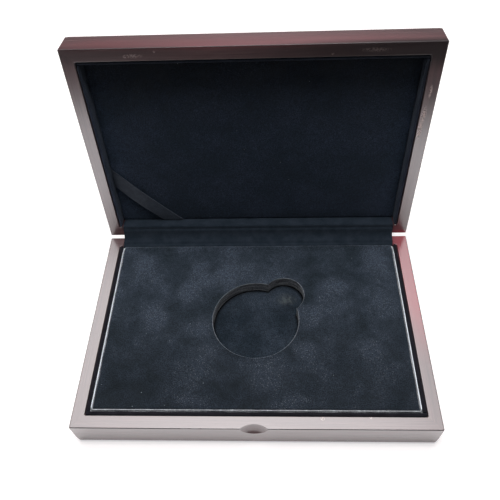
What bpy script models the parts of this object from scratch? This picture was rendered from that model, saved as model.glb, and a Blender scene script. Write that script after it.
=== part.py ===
"""Coin display case: a lacquered wooden box with a velvet tray for one coin capsule.

Metres, +Z up. The origin is the middle of the underside, on the felt that the case stands on.
The front, with the thumb scoop, faces -Y. The lid is modelled shut and then swung open about
its hinge, where it leans back on its stop.
"""

import math

import bmesh
import bpy
from mathutils import Matrix, Vector

# The case
CASE_WIDTH = 0.180
CASE_DEPTH = 0.119
BASE_HEIGHT = 0.018
LID_HEIGHT = 0.0152
WALL = 0.0065
PARTING_GAP = 0.0003
LID_OPEN_ANGLE = math.radians(96.8)

# Clearance between pieces that touch, and how far a cut runs past what it cuts
FIT = 0.0003
OVERRUN = 0.002

# Rounded edges
BASE_EDGE_RADIUS = 0.0015
LID_EDGE_RADIUS = 0.0016
ARRIS = 0.0004
EDGE_STEPS = 6
ARRIS_STEPS = 2

# Underside: felt that stands proud of the frame, and the board let into the frame above it
FELT_THICKNESS = 0.0009
FELT_PROUD = 0.0003
BOTTOM_BOARD = 0.0030
BOTTOM_REBATE = 0.0022

# Lid top
LID_BOARD = 0.0050

# Thumb scoop in the middle of the base's front rim
SCOOP_WIDTH = 0.0140
SCOOP_REACH = 0.0025
SCOOP_DROP = 0.0059

# Cloth-covered boards that line the walls
BASE_LINING = 0.0016
BASE_LINING_PROUD = 0.0001
LID_LINING = 0.0012
LID_LINING_SETBACK = 0.0003
LINING_EDGE = 0.0003

# Tray: velvet over foam, with a keyhole-shaped recess for the capsule and velvet on its floor
TRAY_TOP_PROUD = 0.0002
VELVET_THICKNESS = 0.0006
RECESS_DEPTH = 0.0076
CAPSULE_RECESS_DIAMETER = 0.0470
RECESS_SETBACK = 0.0009
FINGER_NOTCH_DIAMETER = 0.0225
FINGER_NOTCH_OFFSET = 0.0222
FINGER_NOTCH_ANGLE = math.radians(45)
PIPING_RADIUS = 0.0005
PIPING_CORNER = 0.0012

# Lid padding and the ribbon across its corner that holds a certificate
PAD_DEPTH_BELOW_RIM = 0.0060
PAD_THICKNESS = 0.0022
PAD_CROWN = 0.0003
PAD_DRAWN_IN = 0.0005
PAD_EDGE_SHARE = 0.9
RIBBON_WIDTH = 0.0086
RIBBON_THICKNESS = 0.0004
RIBBON_ALONG_SIDE = 0.0327
RIBBON_ALONG_BACK = 0.0312
RIBBON_BOW = 0.0012

# Hinges: two stop butts let into the back rims, their knuckles just behind the case
HINGE_AXIS_OUTBOARD = 0.0010
HINGE_FROM_END = 0.036
HINGE_LENGTH = 0.0240
KNUCKLES = 3
LEAF_THICKNESS = 0.00075
LEAF_REACH = 0.0064
KNUCKLE_SWELL = 0.00005
PIN_RADIUS = 0.0007
PIN_END = 0.0003
SCREW_HEAD_RADIUS = 0.0013
SCREW_HEAD_HEIGHT = 0.0006
SCREW_SHANK_RADIUS = 0.0006
SCREW_LENGTH = 0.0050
SCREW_POINT = 0.0012
SCREW_SPACING = 0.0140

# Cloth flap that covers the hinges, and the shallow relief in both back rims that takes it
FLAP_THICKNESS = 0.0005
FLAP_END_CLEARANCE = 0.0004
FLAP_COVE_RADIUS = 0.0054
FLAP_TUCK = 0.0080

# Facets
ROUND_STEPS = 64
NOTCH_STEPS = 32
KNUCKLE_STEPS = 24
SCREW_STEPS = 12
SCOOP_STEPS = 64
COVE_STEPS = 10
BEND_STEPS = 4
PAD_CUTS = 9
RIBBON_STEPS = 12

# Places worked out from the sizes above
HALF_WIDTH = CASE_WIDTH / 2
HALF_DEPTH = CASE_DEPTH / 2
INSIDE_X = HALF_WIDTH - WALL
INSIDE_Y = HALF_DEPTH - WALL
FRAME_FOOT = FELT_PROUD
RIM = BASE_HEIGHT
BOARD_BASE = FELT_THICKNESS + FIT
BOARD_TOP = BOARD_BASE + BOTTOM_BOARD
CAVITY_FLOOR = BOARD_TOP + FIT
LID_RIM = RIM + PARTING_GAP
LID_TOP = LID_RIM + LID_HEIGHT
LID_FRAME_TOP = LID_TOP - LID_BOARD - FIT
LID_BOARD_BASE = LID_TOP - LID_BOARD
AXIS = Vector((0, HALF_DEPTH + HINGE_AXIS_OUTBOARD, RIM + PARTING_GAP / 2))

RELIEF_DEPTH = FLAP_THICKNESS + FIT
RELIEF_FROM_AXIS = PARTING_GAP / 2 + RELIEF_DEPTH
KNUCKLE_RADIUS = RELIEF_FROM_AXIS + LEAF_THICKNESS + KNUCKLE_SWELL
FLAP_FROM_AXIS = PARTING_GAP / 2 + FLAP_THICKNESS / 2
FLAP_FROM_WALL = FIT + FLAP_THICKNESS / 2

TRAY_HALF_WIDTH = INSIDE_X - FIT - BASE_LINING - FIT
TRAY_FRONT = -(INSIDE_Y - FIT - BASE_LINING - FIT)
TRAY_BACK = INSIDE_Y - FIT - FLAP_THICKNESS - FIT
TRAY_TOP = RIM + TRAY_TOP_PROUD
FOAM_TOP = TRAY_TOP - VELVET_THICKNESS - FIT
RECESS_FLOOR = TRAY_TOP - RECESS_DEPTH
RECESS_Y = (TRAY_FRONT + TRAY_BACK) / 2 + RECESS_SETBACK

PAD_HALF_WIDTH = INSIDE_X - FIT - LID_LINING - FIT
PAD_FRONT = -(INSIDE_Y - FIT - LID_LINING - FIT)
PAD_FACE = LID_RIM + PAD_DEPTH_BELOW_RIM
PAD_BACKING = PAD_FACE + PAD_THICKNESS + FIT

FLAP_HALF_WIDTH = PAD_HALF_WIDTH - FLAP_END_CLEARANCE
RELIEF_HALF_WIDTH = FLAP_HALF_WIDTH + FLAP_END_CLEARANCE

parts = bpy.data.collections.new("coin_display_case")
cutters = bpy.data.collections.new("cutters")


def clear_scene():
    """Empty the scene and link the two collections."""
    for existing in list(bpy.data.objects):
        bpy.data.objects.remove(existing, do_unlink=True)
    for collection in (parts, cutters):
        bpy.context.scene.collection.children.link(collection)


def material(name, colour, roughness, metallic=0.0):
    """A Principled material of one colour."""
    made = bpy.data.materials.new(name)
    made.use_nodes = True
    shader = made.node_tree.nodes["Principled BSDF"]
    shader.inputs["Base Color"].default_value = (*colour, 1)
    shader.inputs["Roughness"].default_value = roughness
    shader.inputs["Metallic"].default_value = metallic
    made.diffuse_color = (*colour, 1)
    return made


def object_from(name, mesh, made_of):
    """Put a mesh in the parts collection as a named object."""
    made = bpy.data.objects.new(name, mesh)
    made.data.materials.append(made_of)
    parts.objects.link(made)
    return made


def mesh_from(name, form):
    """Turn a bmesh into a mesh with its faces pointing out."""
    bmesh.ops.recalc_face_normals(form, faces=form.faces)
    mesh = bpy.data.meshes.new(name)
    form.to_mesh(mesh)
    form.free()
    return mesh


def block_form(low, high):
    """A box between two corners, as a bmesh."""
    low, high = Vector(low), Vector(high)
    form = bmesh.new()
    stretch = Matrix.Diagonal((*(high - low), 1))
    bmesh.ops.create_cube(form, size=1, matrix=Matrix.Translation((low + high) / 2) @ stretch)
    return form


def round_edges(form, chosen, radius, steps):
    """Round the edges for which chosen(end_a, end_b) is true."""
    edges = [e for e in form.edges if chosen(e.verts[0].co, e.verts[1].co)]
    bmesh.ops.bevel(
        form, geom=edges, offset=radius, segments=steps, profile=0.5, affect="EDGES"
    )


def block(name, low, high, made_of, edge=0.0):
    """A box-shaped piece, with all its edges eased where edge is given."""
    form = block_form(low, high)
    if edge:
        round_edges(form, lambda a, b: True, edge, 1)
    return object_from(name, mesh_from(name, form), made_of)


def cutter_object(name, mesh):
    """An object that only cuts others."""
    made = bpy.data.objects.new(name, mesh)
    made.hide_render = True
    made.display_type = "WIRE"
    cutters.objects.link(made)
    return made


def cutter_from(name, form):
    return cutter_object(name, mesh_from(name, form))


def block_cutter(name, low, high):
    return cutter_from(name, block_form(low, high))


def cylinder_form(radius, start, end, steps):
    """A cylinder from one point to another, as a bmesh."""
    start, end = Vector(start), Vector(end)
    along = end - start
    turn = Vector((0, 0, 1)).rotation_difference(along.normalized()).to_matrix().to_4x4()
    form = bmesh.new()
    bmesh.ops.create_cone(
        form, cap_ends=True, segments=steps, radius1=radius, radius2=radius,
        depth=along.length, matrix=Matrix.Translation((start + end) / 2) @ turn,
    )
    return form


def cylinder_cutter(name, radius, start, end, steps):
    return cutter_from(name, cylinder_form(radius, start, end, steps))


def combine(target, tool, operation="DIFFERENCE"):
    """Cut the target with the tool, or join the tool to it."""
    step = target.modifiers.new(tool.name, "BOOLEAN")
    step.object = tool
    step.operation = operation
    step.solver = "EXACT"


def smooth(piece, angle=math.radians(35)):
    """Shade a round piece smooth, with its sharp edges kept."""
    piece.data.shade_smooth()
    piece.data.set_sharp_from_angle(angle=angle)


def settled_mesh(source):
    """The mesh of an object with its modifiers applied. The object itself is removed."""
    bpy.context.view_layer.update()
    evaluated = source.evaluated_get(bpy.context.evaluated_depsgraph_get())
    mesh = bpy.data.meshes.new_from_object(evaluated)
    mesh.transform(source.matrix_world)
    bpy.data.objects.remove(source, do_unlink=True)
    return mesh


def frame_wall(name, side, foot, top, made_of, rounded=()):
    """One mitred wall of a frame, cut square above and below.

    side is the direction that the wall faces. Its outer face lies on the outline of the case and
    its ends are mitred. rounded holds (is_outer, is_top, radius, steps) for each long edge.
    """
    outward = Vector(side)
    along = Vector((-outward.y, outward.x, 0))
    half_length = HALF_WIDTH if outward.y else HALF_DEPTH
    outer = HALF_DEPTH if outward.y else HALF_WIDTH
    mitre_gap = FIT / math.sqrt(2)
    form = bmesh.new()
    bmesh.ops.create_cube(form, size=2)
    for corner in form.verts:
        is_outer, is_top = corner.co.x > 0, corner.co.z > 0
        inset = 0 if is_outer else WALL
        reach = math.copysign(half_length - mitre_gap - inset, corner.co.y)
        corner.co = outward * (outer - inset) + along * reach
        corner.co.z = top if is_top else foot
    form.normal_update()
    for is_outer, is_top, radius, steps in rounded:
        level = top if is_top else foot
        face = outer if is_outer else outer - WALL

        def on_edge(a, b):
            return all(
                math.isclose(end.z, level, abs_tol=FIT / 100)
                and math.isclose(end.dot(outward), face, abs_tol=FIT / 100)
                for end in (a, b)
            )

        round_edges(form, on_edge, radius, steps)
    return object_from(name, mesh_from(name, form), made_of)


SIDES = {"front": (0, -1, 0), "right": (1, 0, 0), "back": (0, 1, 0), "left": (-1, 0, 0)}


def base_frame(wood):
    """Four mitred walls with the underside's outer edge rounded and a rebate for the board."""
    rebate = block_cutter(
        "bottom_rebate",
        (-INSIDE_X - BOTTOM_REBATE, -INSIDE_Y - BOTTOM_REBATE, FRAME_FOOT - OVERRUN),
        (INSIDE_X + BOTTOM_REBATE, INSIDE_Y + BOTTOM_REBATE, CAVITY_FLOOR),
    )
    walls = {}
    for place, side in SIDES.items():
        walls[place] = frame_wall(
            f"base_{place}_wall", side, FRAME_FOOT, RIM, wood,
            [
                (True, False, BASE_EDGE_RADIUS, EDGE_STEPS),
                (True, True, ARRIS, ARRIS_STEPS),
                (False, True, ARRIS, ARRIS_STEPS),
            ],
        )
        combine(walls[place], rebate)
    return walls


def thumb_scoop(front_wall):
    """A ball-shaped hollow across the rim's front edge.

    The ball meets the rim in an arc SCOOP_REACH deep and the front face in an arc SCOOP_DROP deep,
    both on the same chord, SCOOP_WIDTH long. That fixes its centre and its radius.
    """
    half_chord = SCOOP_WIDTH / 2
    before_face = (half_chord**2 - SCOOP_REACH**2) / (2 * SCOOP_REACH)
    above_rim = (half_chord**2 - SCOOP_DROP**2) / (2 * SCOOP_DROP)
    radius = math.sqrt(half_chord**2 + before_face**2 + above_rim**2)
    form = bmesh.new()
    bmesh.ops.create_uvsphere(
        form, u_segments=SCOOP_STEPS, v_segments=SCOOP_STEPS // 2, radius=radius,
        matrix=Matrix.Translation((0, -HALF_DEPTH - before_face, RIM + above_rim)),
    )
    combine(front_wall, cutter_from("thumb_scoop", form))


def underside(wood, felt):
    """The board let into the frame and the felt under it."""
    reach_x = INSIDE_X + BOTTOM_REBATE - FIT
    reach_y = INSIDE_Y + BOTTOM_REBATE - FIT
    block(
        "base_bottom_board", (-reach_x, -reach_y, BOARD_BASE), (reach_x, reach_y, BOARD_TOP), wood
    )
    block(
        "underside_felt", (-reach_x, -reach_y, 0), (reach_x, reach_y, FELT_THICKNESS), felt
    )


def linings(prefix, thickness, foot, top, cloth):
    """Cloth-covered boards inside the front, left and right walls."""
    outer_x, outer_y = INSIDE_X - FIT, INSIDE_Y - FIT
    back = INSIDE_Y - FIT
    side_front = -(outer_y - thickness - FIT)
    made = [
        block(
            f"{prefix}_lining_front", (-outer_x, -outer_y, foot),
            (outer_x, -outer_y + thickness, top), cloth, LINING_EDGE,
        )
    ]
    for place, sign in (("left", -1), ("right", 1)):
        near, far = sorted((sign * outer_x, sign * (outer_x - thickness)))
        made.append(
            block(
                f"{prefix}_lining_{place}", (near, side_front, foot), (far, back, top),
                cloth, LINING_EDGE,
            )
        )
    return made


def keyhole_outline(margin=0.0):
    """The outline of the recess: a capsule-sized circle with a finger notch let into its rim.

    margin draws it in all round, for the velvet that lies in the recess.
    """
    radius = CAPSULE_RECESS_DIAMETER / 2 - margin
    notch = FINGER_NOTCH_DIAMETER / 2 - margin
    apart = FINGER_NOTCH_OFFSET
    leave = math.acos((radius**2 + apart**2 - notch**2) / (2 * radius * apart))
    meet = math.acos((notch**2 + apart**2 - radius**2) / (2 * notch * apart))
    toward = FINGER_NOTCH_ANGLE
    centre = (0, RECESS_Y)
    notch_centre = (apart * math.cos(toward), RECESS_Y + apart * math.sin(toward))
    body = arc(centre, radius, toward + leave, toward + 2 * math.pi - leave, ROUND_STEPS)
    lobe = arc(
        notch_centre, notch, toward - math.pi + meet, toward + math.pi - meet, NOTCH_STEPS
    )
    return body[:-1] + lobe[:-1]


def tray(velvet, foam, silver):
    """The tray that holds the capsule, from its riser up to the piping round its edge."""
    riser_top = RECESS_FLOOR - VELVET_THICKNESS - FIT
    keyhole = cutter_object(
        "keyhole", plate("keyhole", keyhole_outline(), riser_top - OVERRUN, TRAY_TOP + OVERRUN)
    )
    layers = {
        "tray_riser_foam": (CAVITY_FLOOR, riser_top, 0, foam),
        "tray_foam": (riser_top + FIT, FOAM_TOP, 0, foam),
        "tray_velvet": (FOAM_TOP + FIT, TRAY_TOP, 2 * PIPING_RADIUS + FIT, velvet),
    }
    for name, (foot, top, inset, made_of) in layers.items():
        layer = block(
            name, (-TRAY_HALF_WIDTH + inset, TRAY_FRONT + inset, foot),
            (TRAY_HALF_WIDTH - inset, TRAY_BACK - inset, top), made_of,
        )
        if foot > riser_top:
            combine(layer, keyhole)
    floor = plate(
        "recess_floor_velvet", keyhole_outline(FIT), RECESS_FLOOR - VELVET_THICKNESS, RECESS_FLOOR
    )
    object_from("recess_floor_velvet", floor, velvet)
    piping(silver)


def piping(silver):
    """A thin cord laid round the edge of the tray, as one closed tube."""
    reach_x = TRAY_HALF_WIDTH - PIPING_RADIUS
    front, back = TRAY_FRONT + PIPING_RADIUS, TRAY_BACK - PIPING_RADIUS
    level = FOAM_TOP + FIT + PIPING_RADIUS
    corners = [(reach_x, back), (-reach_x, back), (-reach_x, front), (reach_x, front)]
    points = []
    for index, (x, y) in enumerate(corners):
        centre_x = x - math.copysign(PIPING_CORNER, x)
        centre_y = y - PIPING_CORNER if y == back else y + PIPING_CORNER
        for step in range(BEND_STEPS + 1):
            angle = math.pi / 2 * (index + step / BEND_STEPS)
            points.append(
                (
                    centre_x + PIPING_CORNER * math.cos(angle),
                    centre_y + PIPING_CORNER * math.sin(angle),
                    level,
                )
            )
    curve = bpy.data.curves.new("silver_piping", "CURVE")
    curve.dimensions = "3D"
    curve.bevel_depth = PIPING_RADIUS
    curve.bevel_resolution = 2
    spline = curve.splines.new("POLY")
    spline.points.add(len(points) - 1)
    for point, place in zip(spline.points, points):
        point.co = (*place, 1)
    spline.use_cyclic_u = True
    object_from("silver_piping", curve, silver)


def mirrored_z(direction, from_axis):
    """A height that lies from_axis below the hinge's axis on the base, or above it on the lid."""
    return AXIS.z + direction * from_axis


def z_range(direction, near, far):
    """Two heights measured from the hinge's axis, lowest first."""
    return sorted((mirrored_z(direction, near), mirrored_z(direction, far)))


def hinge_places():
    reach = HALF_WIDTH - HINGE_FROM_END
    return (("left", -reach), ("right", reach))


def knuckle_spans(centre):
    """The ends along X of each knuckle of the hinge at centre, from -X to +X."""
    length = (HINGE_LENGTH - (KNUCKLES - 1) * FIT) / KNUCKLES
    starts = [centre - HINGE_LENGTH / 2 + n * (length + FIT) for n in range(KNUCKLES)]
    return [(start, start + length) for start in starts]


def screw_places(centre):
    y = HALF_DEPTH - WALL / 2
    return [(centre + sign * SCREW_SPACING / 2, y) for sign in (-1, 1)]


def cut_for_hinges(wall, direction, label):
    """Relieve a back rim for the flap and let the hinges into it."""
    low, high = z_range(direction, -OVERRUN, RELIEF_FROM_AXIS)
    combine(
        wall,
        block_cutter(
            f"{label}_flap_relief", (-RELIEF_HALF_WIDTH, INSIDE_Y - OVERRUN, low),
            (RELIEF_HALF_WIDTH, HALF_DEPTH + OVERRUN, high),
        ),
    )
    low, high = z_range(direction, 0, RELIEF_FROM_AXIS + LEAF_THICKNESS + FIT)
    for place, centre in hinge_places():
        reach = HINGE_LENGTH / 2 + FIT
        combine(
            wall,
            block_cutter(
                f"{label}_{place}_mortise", (centre - reach, AXIS.y - LEAF_REACH - FIT, low),
                (centre + reach, HALF_DEPTH + OVERRUN, high),
            ),
        )
        combine(
            wall,
            cylinder_cutter(
                f"{label}_{place}_knuckle_clearance", KNUCKLE_RADIUS + FIT,
                (centre - reach, AXIS.y, AXIS.z), (centre + reach, AXIS.y, AXIS.z),
                KNUCKLE_STEPS,
            ),
        )
        for number, (x, y) in enumerate(screw_places(centre)):
            foot = mirrored_z(direction, RELIEF_FROM_AXIS + SCREW_LENGTH + FIT)
            combine(
                wall,
                cylinder_cutter(
                    f"{label}_{place}_pilot_{number}", SCREW_SHANK_RADIUS + FIT,
                    (x, y, AXIS.z), (x, y, foot), SCREW_STEPS,
                ),
            )


def leaf_outline(spans, owned):
    """The plan of a leaf: a plate with a finger to each knuckle that it owns."""
    back = AXIS.y - LEAF_REACH
    root = AXIS.y - KNUCKLE_RADIUS - FIT
    points = [(spans[0][0], back)]
    for index, (start, end) in enumerate(spans):
        finger = AXIS.y if index in owned else root
        points += [(start, finger), (end, finger)]
        if index + 1 < len(spans):
            points += [(end, root), (spans[index + 1][0], root)]
    points.append((spans[-1][1], back))
    return [p for n, p in enumerate(points) if n == 0 or p != points[n - 1]]


def plate(name, outline, low, high):
    """A flat piece from its outline, between two heights."""
    curve = bpy.data.curves.new(name, "CURVE")
    curve.dimensions = "2D"
    curve.fill_mode = "BOTH"
    curve.extrude = (high - low) / 2
    spline = curve.splines.new("POLY")
    spline.points.add(len(outline) - 1)
    for point, (x, y) in zip(spline.points, outline):
        point.co = (x, y, 0, 1)
    spline.use_cyclic_u = True
    source = bpy.data.objects.new(name, curve)
    source.location.z = (low + high) / 2
    parts.objects.link(source)
    form = bmesh.new()
    form.from_mesh(settled_mesh(source))
    bmesh.ops.remove_doubles(form, verts=form.verts, dist=FIT / 100)
    return mesh_from(name, form)


def hinge_leaf(name, centre, direction, owned, brass):
    """One leaf: a plate let into the rim, its knuckles, and its countersunk screw holes."""
    spans = knuckle_spans(centre)
    low, high = z_range(direction, RELIEF_FROM_AXIS, RELIEF_FROM_AXIS + LEAF_THICKNESS)
    leaf = object_from(name, plate(name, leaf_outline(spans, owned), low, high), brass)
    for index in owned:
        start, end = spans[index]
        barrel = cylinder_cutter(
            f"{name}_knuckle_{index}", KNUCKLE_RADIUS, (start, AXIS.y, AXIS.z),
            (end, AXIS.y, AXIS.z), KNUCKLE_STEPS,
        )
        combine(leaf, barrel, "UNION")
    bore = cylinder_cutter(
        f"{name}_bore", PIN_RADIUS + FIT, (spans[0][0] - OVERRUN, AXIS.y, AXIS.z),
        (spans[-1][1] + OVERRUN, AXIS.y, AXIS.z), KNUCKLE_STEPS,
    )
    combine(leaf, bore)
    for number, place in enumerate(screw_places(centre)):
        hole = turned_mesh(f"{name}_hole_{number}", screw_profile(FIT, OVERRUN))
        hole.transform(screw_matrix(place, direction))
        combine(leaf, cutter_object(hole.name, hole))
    return leaf


def screw_profile(margin=0.0, above=0.0):
    """Half the section of a countersunk screw, from the top of its head down to its point.

    margin widens it all round, for the hole that it goes in, and above carries the hole up.
    """
    head = SCREW_HEAD_RADIUS + margin
    shank = SCREW_SHANK_RADIUS + margin
    points = [(0, above), (head, above)] if above else [(0, 0)]
    points += [
        (head, 0), (shank, -SCREW_HEAD_HEIGHT), (shank, -SCREW_LENGTH + SCREW_POINT),
        (0, -SCREW_LENGTH),
    ]
    return points


def turned_mesh(name, profile):
    """A solid turned about Z from a profile given as (radius, height), top to bottom."""
    form = bmesh.new()
    corners = [form.verts.new((x, 0, z)) for x, z in profile]
    for upper, lower in zip(corners, corners[1:]):
        form.edges.new((upper, lower))
    mesh = bpy.data.meshes.new(name)
    form.to_mesh(mesh)
    form.free()
    source = bpy.data.objects.new(name, mesh)
    parts.objects.link(source)
    turn = source.modifiers.new("turn", "SCREW")
    turn.axis = "Z"
    turn.steps = turn.render_steps = SCREW_STEPS
    turn.use_merge_vertices = True
    turn.merge_threshold = FIT / 100
    form = bmesh.new()
    form.from_mesh(settled_mesh(source))
    return mesh_from(name, form)


def screw_matrix(place, direction):
    """Stand a turned screw at its place, head flush with the leaf and shank into the wood."""
    x, y = place
    head = mirrored_z(direction, RELIEF_FROM_AXIS)
    flip = Matrix.Rotation(math.pi, 4, "X") if direction > 0 else Matrix.Identity(4)
    return Matrix.Translation((x, y, head)) @ flip


def screws(half, direction, steel):
    """The screws that hold the hinges to one half of the case."""
    made = []
    for side, centre in hinge_places():
        for number, place in enumerate(screw_places(centre), start=1):
            name = f"hinge_screw_{half}_{side}_{number}"
            mesh = turned_mesh(name, screw_profile())
            mesh.transform(screw_matrix(place, direction))
            screw = object_from(name, mesh, steel)
            smooth(screw)
            made.append(screw)
    return made


def hinge_pin(name, centre, steel):
    reach = HINGE_LENGTH / 2
    form = cylinder_form(
        PIN_RADIUS, (centre - reach, AXIS.y, AXIS.z), (centre + reach, AXIS.y, AXIS.z),
        KNUCKLE_STEPS,
    )
    round_edges(form, lambda a, b: math.isclose(a.x, b.x, abs_tol=FIT / 10), PIN_END, 2)
    pin = object_from(name, mesh_from(name, form), steel)
    smooth(pin)
    return pin


def arc(centre, radius, start, end, steps):
    """Points on an arc, both ends included."""
    turns = [start + (end - start) * n / steps for n in range(steps + 1)]
    return [(centre[0] + radius * math.cos(t), centre[1] + radius * math.sin(t)) for t in turns]


def flap_half(tail):
    """Half the flap's centre line with the lid shut, as (y, z) from the axis, z towards the lid.

    It starts tail deep along the wall's inner face, bends over the inner edge of the rim and
    runs along the relief to where the cove takes over.
    """
    corner = (INSIDE_Y - AXIS.y, RELIEF_FROM_AXIS)
    bend = arc(corner, FLAP_FROM_WALL, math.pi, math.pi * 3 / 2, BEND_STEPS)
    cove_start = (FLAP_COVE_RADIUS + FLAP_FROM_AXIS) / math.tan(LID_OPEN_ANGLE / 2)
    return [(bend[0][0], tail), *bend, (-cove_start, bend[-1][1])]


def flap_line():
    """The flap's centre line with the lid open, from the tray over both rims to the lid's pad."""
    base_half = [(y, -z) for y, z in flap_half(FLAP_TUCK)]
    turn = Matrix.Rotation(-LID_OPEN_ANGLE, 2)
    lid_tail = LID_BOARD_BASE - FIT - AXIS.z
    lid_half = [tuple(turn @ Vector(point)) for point in flap_half(lid_tail)]
    middle = math.pi - LID_OPEN_ANGLE / 2
    away = (FLAP_COVE_RADIUS + FLAP_FROM_AXIS) / math.sin(LID_OPEN_ANGLE / 2)
    centre = (away * math.cos(middle), away * math.sin(middle))
    half_sweep = (math.pi - LID_OPEN_ANGLE) / 2
    facing = middle + math.pi
    cove = arc(centre, FLAP_COVE_RADIUS, facing - half_sweep, facing + half_sweep, COVE_STEPS)
    line = base_half[:-1] + cove + lid_half[::-1][1:]
    return [Vector((AXIS.y + y, AXIS.z + z)) for y, z in line]


def hinge_flap(cloth):
    """A strip of cloth that hides the hinges and coves across the opening."""
    line = flap_line()
    sides = [], []
    for index, point in enumerate(line):
        before = line[max(index - 1, 0)]
        after = line[min(index + 1, len(line) - 1)]
        into, out_of = (point - before), (after - point)
        headings = [d.normalized() for d in (into, out_of) if d.length]
        heading = sum(headings, Vector((0, 0))).normalized()
        lean = heading.dot(headings[0])
        across = Vector((-heading.y, heading.x)) * (FLAP_THICKNESS / 2 / lean)
        sides[0].append(point + across)
        sides[1].append(point - across)
    outline = [tuple(point) for point in sides[0] + sides[1][::-1]]
    mesh = plate("hinge_flap", outline, -FLAP_HALF_WIDTH, FLAP_HALF_WIDTH)
    lay = Matrix(((0, 0, 1, 0), (1, 0, 0, 0), (0, 1, 0, 0), (0, 0, 0, 1)))
    mesh.transform(lay)
    flap = object_from("hinge_flap", mesh, cloth)
    smooth(flap)
    return flap


def lid_frame(wood):
    """Four mitred walls under the lid's top board, and that board with its rounded edge."""
    walls = {
        place: frame_wall(
            f"lid_{place}_wall", side, LID_RIM, LID_FRAME_TOP, wood,
            [(True, False, ARRIS, ARRIS_STEPS), (False, False, ARRIS, ARRIS_STEPS)],
        )
        for place, side in SIDES.items()
    }
    form = block_form(
        (-HALF_WIDTH, -HALF_DEPTH, LID_BOARD_BASE), (HALF_WIDTH, HALF_DEPTH, LID_TOP)
    )
    middle = (LID_BOARD_BASE + LID_TOP) / 2
    round_edges(form, lambda a, b: a.z > middle and b.z > middle, LID_EDGE_RADIUS, EDGE_STEPS)
    top = object_from("lid_top_board", mesh_from("lid_top_board", form), wood)
    smooth(top)
    return [*walls.values(), top], walls["back"]


def lid_pad(velvet, card):
    """The padded panel in the lid: a card and a thin cushion with a crown and drawn-in sides."""
    backing = block(
        "lid_pad_card", (-PAD_HALF_WIDTH, PAD_FRONT, PAD_BACKING),
        (PAD_HALF_WIDTH, TRAY_BACK, LID_BOARD_BASE - FIT), card,
    )
    form = block_form(
        (-PAD_HALF_WIDTH, PAD_FRONT, PAD_FACE), (PAD_HALF_WIDTH, TRAY_BACK, PAD_FACE + PAD_THICKNESS)
    )
    level_edges = [e for e in form.edges if e.verts[0].co.z == e.verts[1].co.z]
    bmesh.ops.subdivide_edges(form, edges=level_edges, cuts=PAD_CUTS, use_grid_fill=True)
    centre_y = (PAD_FRONT + TRAY_BACK) / 2
    half_y = (TRAY_BACK - PAD_FRONT) / 2
    for corner in form.verts:
        across = corner.co.x / PAD_HALF_WIDTH
        along = (corner.co.y - centre_y) / half_y
        rise = (1 - across**4) * (1 - along**4)
        if corner.co.z < PAD_FACE + PAD_THICKNESS / 2:
            corner.co.z -= PAD_CROWN * rise
            if abs(across) > PAD_EDGE_SHARE:
                corner.co.x -= math.copysign(PAD_DRAWN_IN, across)
            if abs(along) > PAD_EDGE_SHARE:
                corner.co.y -= math.copysign(PAD_DRAWN_IN, along)
    pad = object_from("lid_pad", mesh_from("lid_pad", form), velvet)
    smooth(pad)
    return [backing, pad]


def certificate_ribbon(cloth):
    """A ribbon across the lid's corner by the left end of the hinges, bowed off the pad."""
    left, back = -PAD_HALF_WIDTH + FIT, TRAY_BACK - FIT
    side_end = Vector((left, TRAY_BACK - RIBBON_ALONG_SIDE))
    back_end = Vector((-PAD_HALF_WIDTH + RIBBON_ALONG_BACK, back))
    run = (back_end - side_end).normalized()
    along_side, along_back = RIBBON_WIDTH / 2 / run.x, RIBBON_WIDTH / 2 / run.y
    form = bmesh.new()
    bmesh.ops.create_grid(form, x_segments=RIBBON_STEPS, y_segments=1, size=0.5)
    level = PAD_FACE - PAD_CROWN - FIT
    for corner in form.verts:
        travel, across = corner.co.x + 0.5, 2 * corner.co.y
        start = side_end - Vector((0, along_side * across))
        end = back_end + Vector((along_back * across, 0))
        place = start.lerp(end, travel)
        corner.co = (*place, level - RIBBON_BOW * math.sin(math.pi * travel))
    ribbon = object_from("certificate_ribbon", mesh_from("certificate_ribbon", form), cloth)
    if ribbon.data.polygons[0].normal.z > 0:
        ribbon.data.flip_normals()
    thicken = ribbon.modifiers.new("cloth", "SOLIDIFY")
    thicken.thickness = RIBBON_THICKNESS
    thicken.offset = 1
    smooth(ribbon)
    return ribbon


def swing_open(lid_pieces):
    """Hang the lid's pieces and their cutters on an empty on the hinge's axis, and open it."""
    hinge = bpy.data.objects.new("lid_hinge_axis", None)
    hinge.empty_display_size = HINGE_LENGTH
    hinge.location = AXIS
    parts.objects.link(hinge)
    for piece in list(lid_pieces):
        tools = [m.object for m in piece.modifiers if m.type == "BOOLEAN"]
        for moved in [piece, *tools]:
            moved.parent = hinge
            moved.matrix_parent_inverse = Matrix.Translation(-AXIS)
    hinge.rotation_euler.x = -LID_OPEN_ANGLE


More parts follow.
